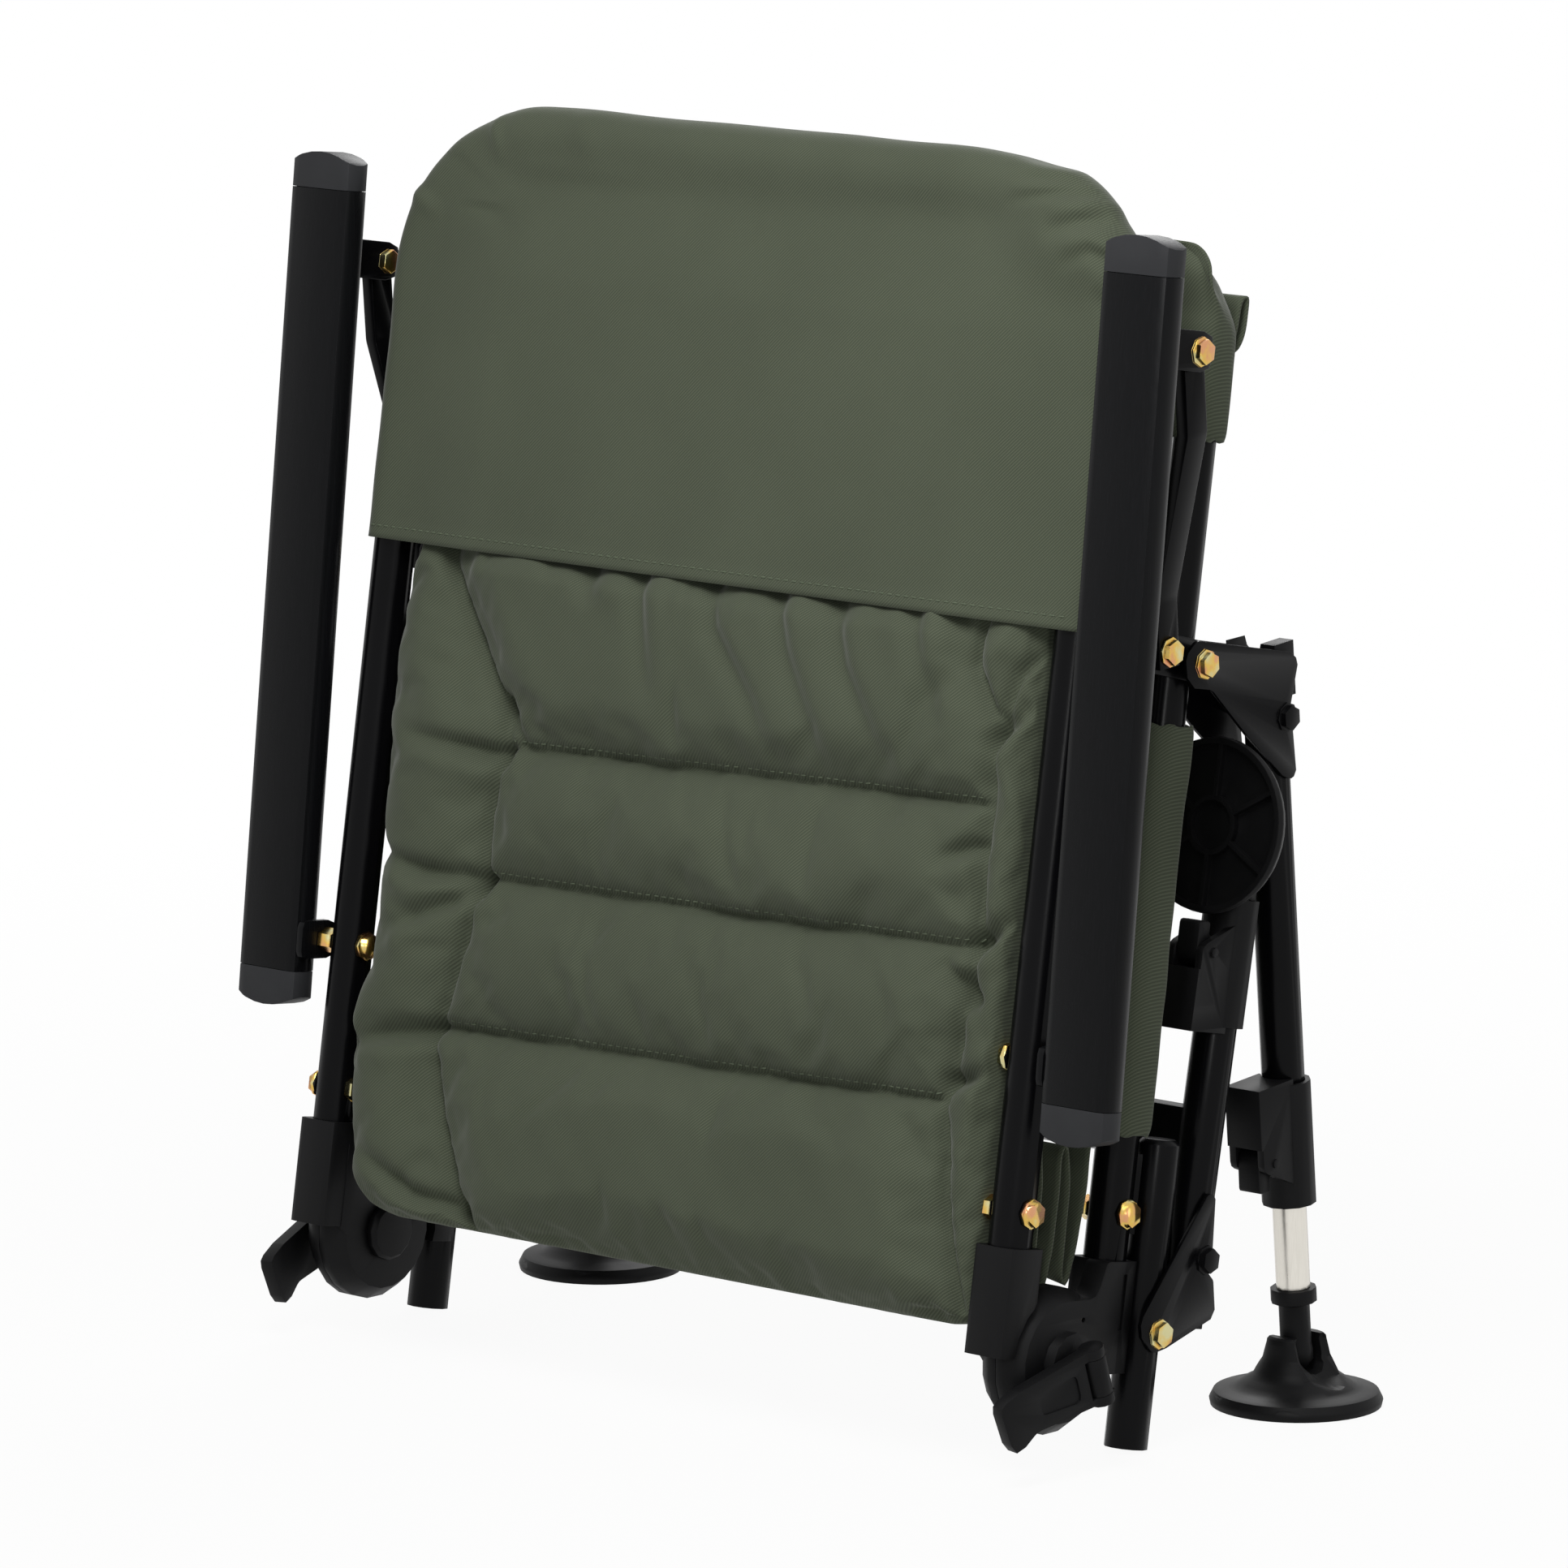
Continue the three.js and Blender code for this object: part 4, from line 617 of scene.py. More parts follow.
def places_along(line, pitch):
    """Places (x, q) and directions at even steps along a line."""
    steps = []
    for (ax, aq), (bx, bq) in zip(line, line[1:]):
        length = math.hypot(bx - ax, bq - aq)
        for number in range(int(length / pitch)):
            share = (number + 0.5) * pitch / length
            place = (ax + share * (bx - ax), aq + share * (bq - aq))
            steps.append((*place, (bx - ax) / length, (bq - aq) / length))
    return steps


def row_across(q):
    return [(-ROW_X_MM, q), (ROW_X_MM, q)]


def stitched(name, cloth_piece, lines, body, seen_from=BEFORE):
    """Stitches along lines (x, q) on a cloth piece that still stands in stack directions."""
    from_p, facing = seen_from
    cloth = cloth_piece.data
    surface = BVHTree.FromPolygons([v.co for v in cloth.vertices], [f.vertices for f in cloth.polygons])
    stitch = one_stitch()
    copies = []
    for line in lines:
        for x, q, along_x, along_q in places_along(line, STITCH_PITCH_MM):
            eye = Vector((x * MM, from_p * MM, q * MM))
            hit, normal, _, _ = surface.ray_cast(eye, Vector((0, facing, 0)))
            if hit is None:
                continue
            run = Vector((along_x, 0, along_q))
            run = (run - normal * run.dot(normal)).normalized()
            turn = Matrix((run, normal, run.cross(normal))).transposed().to_4x4()
            copy = bpy.data.objects.new(name, stitch.data.copy())
            copy.data.transform(Matrix.Translation(hit + normal * STITCH_LIFT_MM * MM) @ turn)
            scene.collection.objects.link(copy)
            copies.append(copy)
    bpy.data.objects.remove(stitch)
    only(copies[0])
    for copy in copies:
        copy.select_set(True)
    bpy.ops.object.join()
    row = bpy.context.object
    row.name = name
    row.data.transform(LEAN)
    coat(row, thread)
    bpy.ops.object.shade_smooth()
    print(name, "stitches:", len(copies))
    return carry(row, body, "olive_cloth")


# %% [markdown]
# The back cushion has a middle panel, crossed by three seams, between two bolsters. The cloth below the
# hood is gathered into slanting folds, and short creases run out from where the seams meet. Left and right
# are the picture's here.
# %% The lines of the back cushion
PAD_FRONT_MM, PAD_BACK_MM = -99, -54
PAD_MIDDLE_MM = -74
PAD_SEAM_MM = 17
SEAM_1 = [(-125, 311), (35, 315), (193, 318)]
SEAM_2 = [(-133, 243), (46, 245), (197, 248)]
SEAM_3 = [(-152, 164), (29, 167), (189, 171)]
LEFT_WELT = [(-184, 436), (-179, 401), (-154, 366), (-129, 331), (-125, 313), (-133, 277), (-133, 241)]
LEFT_WELT += [(-151, 170), (-156, 161), (-144, 121), (-122, 69), (-116, 60)]
RIGHT_WELT = [(232, 412), (204, 384), (195, 355), (195, 319), (195, 283), (197, 249), (191, 198), (187, 174)]
RIGHT_WELT += [(195, 115), (208, 70)]
DART = [(180, 408), (178, 385), (192, 362)]
PAD_SEAMS = [SEAM_1, SEAM_2, SEAM_3, LEFT_WELT, RIGHT_WELT, DART]
PAD_CREASES = [
    [(-127, 306), (-192, 312)],
    [(-133, 241), (-168, 243), (-214, 252)],
    [(-134, 236), (-192, 208)],
    [(-156, 161), (-214, 148)],
    [(-122, 72), (-155, 77), (-200, 100)],
    [(189, 296), (168, 288)],
    [(198, 222), (174, 240)],
    [(195, 350), (214, 372)],
    [(196, 249), (222, 268)],
    [(190, 180), (218, 190)],
    [(-127, 333), (-112, 308)],
]
GATHERS = [
    [(-42, 412), (-36, 385), (-24, 345)],
    [(6, 412), (14, 385), (44, 352), (62, 320)],
    [(50, 412), (62, 380), (84, 345), (92, 318)],
    [(88, 412), (102, 375), (128, 340), (140, 325)],
    [(140, 412), (150, 380), (164, 348)],
    [(-78, 412), (-74, 398), (-66, 388)],
    [(165, 412), (176, 380)],
]
print("seams on the back cushion:", len(PAD_SEAMS), "folds:", len(GATHERS))

# %% [markdown]
# Both cushions are made by the same steps: a block, its seams, its rim, the simulation, then the fine
# creases. Only the front of a cushion has seams that show, so its back stays plain.
# %% Sew a cushion
CUSHION_EDGE_MM = 12
SWELL_REACH_MM, RIM_REACH_MM = 36, 26
SEAM_HELD_MM, RIM_HELD_MM, RIM_DEEP_MM = 3.2, 3, 4
SEAM_START_MM, RIM_START_MM, RIM_SHARE = 1, 3, 0.3


def sewn_cushion(name, low, high, corners, seams, middle, seam_mm):
    """A block with its seams drawn in from the front, and its rim drawn in to its middle."""
    piece = even_block(name, low, high, corners, CUSHION_EDGE_MM)
    co = co_of(piece)
    x, p, q = co.T
    rim = np.minimum.reduce([x - low[0], high[0] - x, q - low[2], high[2] - q])
    front = p < middle
    seam = distance_to(x, q, seams)
    depth = np.where(front, swell(seam + SEAM_START_MM, SWELL_REACH_MM), 1)
    depth *= RIM_SHARE + (1 - RIM_SHARE) * swell(np.maximum(rim, 0) + RIM_START_MM, RIM_REACH_MM)
    hollow = seam_mm / (middle - low[1])
    co[:, 1] = middle + (p - middle) * (1 - hollow * (1 - depth))
    set_co(piece, co)
    at_rim = (rim < RIM_HELD_MM) & (abs(p - middle) < RIM_DEEP_MM)
    pinned = (front & (seam < SEAM_HELD_MM)) | at_rim
    return piece, pinned


# %% [markdown]
# The picture's left edge of the back cushion bulges out a little between its creases. Cloth that slopes away
# from a fold is lit differently on its two sides, so each crease has a shallow swelling beside it.
# %% Back cushion
BACK_CAP_MM, SEAT_CAP_MM = 6, 4
SEAM_DEEP_MM, SEAM_WIDE_MM, PUCKER_DEEP_MM = 4.0, 2.6, 0.9
CREASE_DEEP_MM, CREASE_WIDE_MM = 9.5, 5.0
BESIDE_CREASE_MM, SWELLING_MM, SWELLING_WIDE_MM = 10, 3.2, 7
GATHER_DEEP_MM, GATHER_WIDE_MM = 5.6, 6.5
BESIDE_GATHER_MM, ROLL_MM, ROLL_WIDE_MM = 15, 2.6, 10
LUMP_MM, FINE_LUMP_MM = 0.9, 0.35
HEM_PRESS_MM, HEM_PRESS_Q = 5, (398, 412)
SEAM_RISE_MM = 3.4
PAD_BLEND_MM, SEAT_BLEND_MM = 10, 8
EDGE_X_MM, EDGE_POWER = 209, 3
low, high = (-210, PAD_FRONT_MM + 4, 62), (214, PAD_BACK_MM - 1, 428)
corners = ((-1, -1, 44), (1, -1, 14), (-1, 1, 12), (1, 1, 12))
name = "back_cushion_olive"
cushion, pinned = sewn_cushion(name, low, high, corners, PAD_SEAMS, PAD_MIDDLE_MM, PAD_SEAM_MM)
EDGE_LOBES = ((60, 0), (100, 2), (162, -5), (209, 4), (252, 4), (300, -1), (331, -2), (378, 2), (430, 8))
co = co_of(cushion)
reach = risen(co[:, 0], 0, -EDGE_X_MM) ** EDGE_POWER
co[:, 0] += reach * np.interp(co[:, 2], *zip(*EDGE_LOBES))
set_co(cushion, co)
blow_up(cushion, pinned, BACK_CAP_MM)
finer(cushion)
co = co_of(cushion)
x, q = co[:, 0], co[:, 2]
inward = SEAM_DEEP_MM * groove(distance_to(x, q, PAD_SEAMS), SEAM_WIDE_MM)
inward += PUCKER_DEEP_MM * puckers(x, q, PAD_SEAMS)
for line in PAD_CREASES:
    inward += CREASE_DEEP_MM * crease(x, q, line, CREASE_WIDE_MM)
    inward -= SWELLING_MM * crease(x, q + BESIDE_CREASE_MM, line, SWELLING_WIDE_MM)
for line in GATHERS:
    inward += GATHER_DEEP_MM * crease(x, q, line, GATHER_WIDE_MM)
    inward -= ROLL_MM * crease(x - BESIDE_GATHER_MM, q, line, ROLL_WIDE_MM)
inward += LUMP_MM * ripple(x / 41 + 0.8 * ripple(q / 52, 3), 1) + FINE_LUMP_MM * ripple((x + q) / 13, 4)
inward += HEM_PRESS_MM * risen(q, *HEM_PRESS_Q)
co[:, 1] += inward * risen(co[:, 1], PAD_MIDDLE_MM, PAD_MIDDLE_MM - PAD_BLEND_MM)
set_co(cushion, co)
rows = [[(x, q + SEAM_RISE_MM) for x, q in line] for line in (SEAM_1, SEAM_2, SEAM_3)]
stitched("back_cushion_stitches", cushion, rows, "backrest")
lean_and_carry(cushion, "backrest", "backrest_cushion")
print("back cushion faces:", len(cushion.data.polygons))

# %% [markdown]
# The seat cushion faces the back cushion. Only its edges show while the chair is folded, but it is sewn
# the same way.
# %% Seat cushion
SEAT_MIDDLE_MM, SEAT_SEAM_MM = -33, 12
SEAT_SEAM_DEEP_MM, SEAT_SEAM_WIDE_MM, SEAT_PUCKER_MM = 2.4, 2.4, 0.8
SEAT_SEAMS = [[(-150, q), (150, q + 3)] for q in (170, 290, 410)]
SEAT_SEAMS += [[(side * 152, 84), (side * 150, 300), (side * 152, 556)] for side in (-1, 1)]
low, high = (-203, -50, 84), (203, -16, 557)
corners = ((-1, -1, 30), (1, -1, 30), (-1, 1, 40), (1, 1, 40))
name = "seat_cushion_olive"
cushion, pinned = sewn_cushion(name, low, high, corners, SEAT_SEAMS, SEAT_MIDDLE_MM, SEAT_SEAM_MM)
blow_up(cushion, pinned, SEAT_CAP_MM)
finer(cushion)
co = co_of(cushion)
x, q = co[:, 0], co[:, 2]
inward = SEAT_SEAM_DEEP_MM * groove(distance_to(x, q, SEAT_SEAMS), SEAT_SEAM_WIDE_MM)
inward += SEAT_PUCKER_MM * puckers(x, q, SEAT_SEAMS, 5)
co[:, 1] += inward * risen(co[:, 1], SEAT_MIDDLE_MM, SEAT_MIDDLE_MM - SEAT_BLEND_MM)
set_co(cushion, co)
rows = [[(x, q + SEAM_RISE_MM) for x, q in line] for line in SEAT_SEAMS[:3]]
stitched("seat_cushion_stitches", cushion, rows, "seat")
lean_and_carry(cushion, "seat", "seat_cushion")
print("seat cushion faces:", len(cushion.data.polygons))

# %% [markdown]
# The hood and the sling's ends are bags: closed blocks whose open ends are deleted, and whose cloth then gets
# its thickness inwards.
# %% Open a bag and give it a wall
def open_ends(piece, low_q, high_q=FAR_MM):
    """Deletes the faces at a bag's open ends."""
    only(piece)
    bpy.ops.object.mode_set(mode="EDIT")
    bpy.ops.mesh.select_mode(type="FACE")
    bpy.ops.mesh.select_all(action="DESELECT")
    shape = bmesh.from_edit_mesh(piece.data)
    for face in shape.faces:
        q = [v.co.z / MM for v in face.verts]
        face.select = max(q) < low_q or min(q) > high_q
    bmesh.update_edit_mesh(piece.data)
    bpy.ops.mesh.delete(type="FACE")
    bpy.ops.object.mode_set(mode="OBJECT")


def walled(piece, wall_mm, offset=-1):
    """Gives a surface the cloth's thickness, inwards (-1) or to both sides (0)."""
    modified(piece, "SOLIDIFY", thickness=wall_mm * MM, offset=offset)


print("helpers for bags are ready")

# %% [markdown]
# The hood is a plain bag of cloth, pulled down over the top of the backrest. It is tight and padded from
# within, so it starts as a block too. Its top follows the frame's bend on the picture's left and bunches up
# on its right, and its underside is open.
# %% Hood
HOOD_LOW_MM = 408
HOOD_WALL_MM = 1.4
BACK_TUBE_X, BACK_TUBE_P, BEND_MM, BEND_FROM_Q = 229, -75, 70, 550
SNUG_MM, LOOSE_MM, PUFF_MM, PUFF_REACH_MM = 13.6, 21.5, 21, 85
CORNER_X, CORNER_Q = (150, 200), (560, 600)
CREST_MM, CREST_OVER_MM, CREST_X = 4.5, (45, 70), (200, 150)


def snug_on_frame(co):
    """Draws the hood in to the frame's tube, tight at its sides and looser at the picture's top right."""
    x, p, q = co.T
    arm = BACK_TUBE_X - BEND_MM
    out, over = np.maximum(np.abs(x) - arm, 0), np.maximum(q - BEND_FROM_Q, 0)
    reach = np.maximum(np.hypot(out, over), TINY)
    side, off = reach - BEND_MM, p - BACK_TUBE_P
    corner = eased(x, *CORNER_X) * eased(q, *CORNER_Q)
    crest = eased(over, *CREST_OVER_MM) * eased(np.abs(x), *CREST_X)
    snug = SNUG_MM + CREST_MM * crest + (LOOSE_MM - SNUG_MM) * corner
    limit = snug + np.maximum(PUFF_MM - snug, 0) * eased(side, 0, -PUFF_REACH_MM)
    share = np.minimum(1, limit / np.maximum(np.hypot(np.maximum(side, 0), off), TINY))
    grown = np.where(side > 0, (BEND_MM + side * share) / reach, 1)
    new_x = np.where(out > 0, np.sign(x) * (arm + out * grown), x)
    new_q = np.where(over > 0, BEND_FROM_Q + over * grown, q)
    return np.stack((new_x, BACK_TUBE_P + off * share, new_q), axis=1)


HOOD_TOP = ((-242, 641), (-70, 641), (60, 638), (162, 637), (205, 631), (226, 624), (236, 610), (242, 596))
HOOD_FOLDS = [
    ([(243, 622), (205, 620), (168, 612)], 4.5, 3.4),
    ([(244, 604), (228, 610), (196, 600)], 6.5, 4.6),
    ([(243, 586), (224, 592), (206, 584)], 3.6, 4.0),
    ([(244, 560), (226, 574)], 2.4, 5.0),
    ([(222, 634), (206, 626), (176, 626)], 4.0, 3.0),
    ([(240, 613), (216, 613)], 4.5, 2.4),
    ([(-205, 600), (-150, 570)], 2.0, 7.0),
    ([(-182, 640), (-168, 606)], -3.0, 4.5),
    ([(-236, 590), (-206, 576)], -2.4, 5.0),
    ([(-120, 640), (-100, 604)], -1.6, 9.0),
]
HOOD_EDGE_MM, OPEN_BELOW_MM, PULL_FROM_Q = 12, 15, 470
BESIDE_SHARE, BESIDE_WIDTHS, BESIDE_WIDER = 0.5, 1.9, 1.1
WAVE_MM, EDGE_WAVE_MM, EDGE_WAVE_Q, EDGE_WAVE_WIDE_MM = 0.8, 1.1, 606, 6
SNUG_FOLD_MM, SNUG_X, SNUG_Q = 0.4, 195, 585
FRONT_P, EDGE_X, TOP_Q = (-76, -88), (215, 235), (618, 630)
EDGE_FOLD_SHARE, EDGE_RIPPLE_MM, EDGE_OUT_MM = 0.35, 0.6, 0.5
TOP_RIPPLE_MM, CALM_X, CALM_WIDE_MM, CALM_SHARE = 1.6, -30, 200, 0.25
low, high = (-242, -96, HOOD_LOW_MM), (242, -54, 640)
corners = ((-1, 1, 10), (1, 1, 10))
hood = even_block("hood_olive", low, high, corners, HOOD_EDGE_MM)
co = co_of(hood)
x, p, q = co.T
top = np.interp(x, *zip(*HOOD_TOP))
tall = (top - HOOD_LOW_MM) / (high[2] - HOOD_LOW_MM)
share = risen(q, HOOD_LOW_MM, high[2])
co[:, 2] = np.where(q > HOOD_LOW_MM, HOOD_LOW_MM + (q - HOOD_LOW_MM) * (1 + (tall - 1) * share**2), q)
co = snug_on_frame(co)
set_co(hood, co)
open_ends(hood, HOOD_LOW_MM + OPEN_BELOW_MM)
finer(hood)
co = co_of(hood)
x, p, q = co.T
lowest = q.min()
co[:, 2] = q - risen(q, PULL_FROM_Q, lowest) * (lowest - HOOD_LOW_MM)
q = co[:, 2]
inward = np.zeros(len(x))
for line, deep, width in HOOD_FOLDS:
    inward += deep * crease(x, q, line, width)
    beside = crease(x, q - BESIDE_WIDTHS * width, line, width * BESIDE_WIDER)
    inward -= BESIDE_SHARE * deep * beside
inward += WAVE_MM * ripple(x / 63 + 0.7 * ripple(q / 48, 2), 6)
inward += EDGE_WAVE_MM * groove(q - EDGE_WAVE_Q, EDGE_WAVE_WIDE_MM) * ripple(x / 70, 3)
at_tube = (np.abs(x) > SNUG_X) | (q > SNUG_Q)
inward = np.where((x < CORNER_X[0]) & at_tube, np.minimum(inward, SNUG_FOLD_MM), inward)
co[:, 1] += inward * risen(p, *FRONT_P)
narrower = EDGE_FOLD_SHARE * inward + EDGE_RIPPLE_MM * ripple(q / 21, 5) - EDGE_OUT_MM
co[:, 0] -= np.sign(x) * risen(np.abs(x), *EDGE_X) * narrower
calm = np.clip(np.abs(x - CALM_X) / CALM_WIDE_MM, CALM_SHARE, 1)
co[:, 2] -= risen(q, *TOP_Q) * TOP_RIPPLE_MM * ripple(x / 34, 9) * calm
set_co(hood, co)
print("hood from", round(co[:, 2].min()), "to", round(co[:, 2].max()), "mm up the stack")

# %% [markdown]
# The hem is the cloth's edge folded over and sewn down, so it stands a little proud, in a band that ends at
# its stitches.
# %% Hem of the hood
HEM_MM, HEM_PROUD_MM, HEM_SLOPE_MM = 6.5, 0.9, 2.5
FLAT_X = (232, 220)
co = co_of(hood)
x, p, q = co.T
outward = np.where(p < FRONT_P[0], -1.0, 1.0)
above = HOOD_LOW_MM + HEM_MM
band = HEM_PROUD_MM * (1 - risen(q, above, above + HEM_SLOPE_MM))
band += 0.35 * ripple(x / 9, 8) * np.exp(-(q - HOOD_LOW_MM) / 14)
co[:, 1] += outward * band * risen(np.abs(x), *FLAT_X)
set_co(hood, co)
walled(hood, HOOD_WALL_MM)
row = row_across(HOOD_LOW_MM + HEM_MM)
stitched("hood_hem_stitches_front", hood, [row], "backrest")
stitched("hood_hem_stitches_back", hood, [row], "backrest", BEHIND)
lean_and_carry(hood, "backrest", "backrest_hood")
print("hood faces:", len(hood.data.polygons))

# %% [markdown]
# Cloth that is folded or rolled follows a path, seen from its edge. This helper rounds the path's corners and
# gives the place at any share of its length.
# %% A rounded path
ROUNDS, CUT = 3, 0.25


def along_path(path, share):
    points = np.array(path, float)
    for _ in range(ROUNDS):
        near = (1 - CUT) * points[:-1] + CUT * points[1:]
        far = CUT * points[:-1] + (1 - CUT) * points[1:]
        points = np.vstack([points[:1], np.stack((near, far), axis=1).reshape(-1, 2), points[-1:]])
    steps = np.hypot(*np.diff(points, axis=0).T)
    length = np.concatenate(([0], np.cumsum(steps)))
    at = share * length[-1]
    return np.interp(at, length, points[:, 0]), np.interp(at, length, points[:, 1]), length[-1]


print("helpers for cloth are ready")

# %% [markdown]
# The sling is the cloth that carries the seat: a pocket over the front bar, a sleeve on each side tube and a
# sheet between. The two ends are bags like the hood, drawn flat between the tubes and opened at their edges.
# %% Covers for the seat's tubes
SEAT_TUBE_X, SEAT_BAR_Q, SEAT_BEND_MM = 229, 588, 55
COVER_MM, COVER_X_MM, COVER_EDGE_MM, SPARE_MM = 14.4, 243, 10, 8
SHEET_P_MM, LAYER_MM, LAYER_SHARE = -13, 0.7, 0.05
ROUND_TO_MM, FLAT_FROM_MM = 12, 32
SLACK_MM, SLACK_AT_MM, SLACK_WIDE_MM = 1.1, 22, 12
SLING_WALL_MM = 1.3
TURN = [math.radians(a) for a in (0, 22.5, 45, 67.5, 90)]
BEND_X, BEND_Q = SEAT_TUBE_X - SEAT_BEND_MM, SEAT_BAR_Q - SEAT_BEND_MM
HALF_PATH = [(SEAT_TUBE_X, 100)]
HALF_PATH += [(BEND_X + SEAT_BEND_MM * math.cos(t), BEND_Q + SEAT_BEND_MM * math.sin(t)) for t in TURN]
TUBE_PATH = HALF_PATH + [(-x, q) for x, q in reversed(HALF_PATH)]


def sag(x, q):
    """The soft wave of the seat's cloth, in mm, the same on all its pieces."""
    return 0.7 * ripple(x / 70 + ripple(q / 60, 2), 4)


def tube_cover(name, low_q, high_q, corners, top_open):
    """A bag over the seat's tubes, in real cloth thickness, and the area of its cloth in square metres."""
    low = (-COVER_X_MM, -COVER_MM, low_q - SPARE_MM)
    high = (COVER_X_MM, COVER_MM, high_q + SPARE_MM * top_open)
    piece = even_block(name, low, high, corners, COVER_EDGE_MM)
    open_ends(piece, low_q, high_q if top_open else FAR_MM)
    finer(piece)
    co = co_of(piece)
    x, p, q = co.T
    away = distance_to(x, q, [TUBE_PATH])
    full = 1 - eased(away, ROUND_TO_MM, FLAT_FROM_MM)
    flat = SHEET_P_MM + LAYER_MM + (p - SHEET_P_MM) * LAYER_SHARE
    co[:, 1] = np.where(p > SHEET_P_MM, flat + (p - flat) * full, p)
    slack = SLACK_MM * groove(away - SLACK_AT_MM, SLACK_WIDE_MM)
    co[:, 1] += slack * (p > 0) * ripple(q / 15 + x / 90, 7) + sag(x, q)
    set_co(piece, co)
    area = sum(face.area for face in piece.data.polygons)
    walled(piece, SLING_WALL_MM)
    return piece, area


# %% Front pocket
POCKET_LOW_MM, POCKET_HIGH_MM = 508, 603
BAR_Q, FORWARD_MM, UP_MM = (566, 592), 8, 2.2
corners = ((-1, 1, 22), (1, 1, 16))
pocket, area = tube_cover("sling_pocket_olive", POCKET_LOW_MM, POCKET_HIGH_MM, corners, False)
co = co_of(pocket)
x, p, q = co.T
rise = eased(q, *BAR_Q)
co[:, 1] -= FORWARD_MM * rise * risen(p, 0, -COVER_MM)
co[:, 2] += UP_MM * rise * ripple(x / 30, 3)
set_co(pocket, co)
stitched("pocket_stitches", pocket, [row_across(POCKET_LOW_MM + HEM_MM)], "seat", BEHIND)
lean_and_carry(pocket, "seat", "seat_sling")
print("pocket cloth:", round(area, 4), "square metres")

# %% Side sleeves and the seat between them
SLEEVE_LOW_MM, SLEEVE_HIGH_MM = 163, 364
sleeves, area = tube_cover("sling_sleeves_olive", SLEEVE_LOW_MM, SLEEVE_HIGH_MM, (), True)
ROW_IN_X, ROW_END_MM = 206, 4
ends = (SLEEVE_LOW_MM + ROW_END_MM, SLEEVE_HIGH_MM - ROW_END_MM)
rows = [[(side * ROW_IN_X, end) for end in ends] for side in (-1, 1)]
rows += [row_across(end) for end in (SLEEVE_LOW_MM + HEM_MM, SLEEVE_HIGH_MM - HEM_MM)]
stitched("sleeve_stitches", sleeves, rows, "seat", BEHIND)
lean_and_carry(sleeves, "seat")
print("sleeve cloth:", round(area, 4), "square metres")

# %% [markdown]
# The smaller cloths are sheets. Each starts as a flat grid, gets its shape from where its points go, and ends
# with a real thickness. These two helpers hold what is the same for all.
# %% Lay out and finish a sheet
def cloth_grid(name, across, along):
    """A flat grid of one by one, and its points as shares from -0.5 to 0.5."""
    bpy.ops.mesh.primitive_grid_add(size=1, x_subdivisions=across, y_subdivisions=along)
    grid = bpy.context.object
    grid.name = name
    return grid, co_of(grid) * MM


def seat_sheet(sheet, x, p, q, wall_mm, offset=-1):
    """Puts a grid's points in place, gives it the cloth's thickness and lets it ride on the seat."""
    set_co(sheet, np.stack((x, p, q), axis=1))
    walled(sheet, wall_mm, offset)
    edit(sheet, (bpy.ops.mesh.normals_make_consistent, {"inside": False}))
    bpy.ops.object.shade_smooth()
    lean_and_carry(sheet, "seat")


print("helpers for sheets are ready")

# %% [markdown]
# Between the pocket and the sleeves the seat's cloth is one plain sheet, cut away beside the leg pivots. It
# is a grid at its place, with a soft wave.
# %% Middle of the sling
MIDDLE_X_MM, MIDDLE_LOW_MM, MIDDLE_HIGH_MM = 176, 358, 514
BEHIND_MM, DRAWN_IN = 0.6, 0.05
middle, co = cloth_grid("sling_middle_olive", 70, 32)
x = co[:, 0] * 2 * MIDDLE_X_MM
q = MIDDLE_LOW_MM + (co[:, 1] + 0.5) * (MIDDLE_HIGH_MM - MIDDLE_LOW_MM)
x = x * (1 - DRAWN_IN * np.cos(math.pi * co[:, 1]) ** 2)
p = SHEET_P_MM - BEHIND_MM + sag(x, q)
seat_sheet(middle, x, p, q, SLING_WALL_MM)
print("middle of the sling:", len(middle.data.polygons), "faces")

# %% [markdown]
# At the pocket's open end a short tab of doubled cloth stands out behind the tube. It is a flat loop: a grid
# rolled along a narrow path.
# %% Pocket tabs
TAB_PATH = ((12, 552), (14.5, 566), (16, 578), (21, 580), (23, 577), (22, 562), (19, 553), (14, 550))
TAB_X_MM = (213, 236)
for side_name, side in (("left", 1), ("right", -1)):
    tab, co = cloth_grid(f"pocket_tab_olive_{side_name}", 8, 40)
    p, q, length = along_path(TAB_PATH, co[:, 1] + 0.5)
    x = TAB_X_MM[0] + (co[:, 0] + 0.5) * (TAB_X_MM[1] - TAB_X_MM[0])
    seat_sheet(tab, side * x, p + 0.5 * ripple(q / 9 + x / 11, 3), q, SLING_WALL_MM)
print("the sling is done")

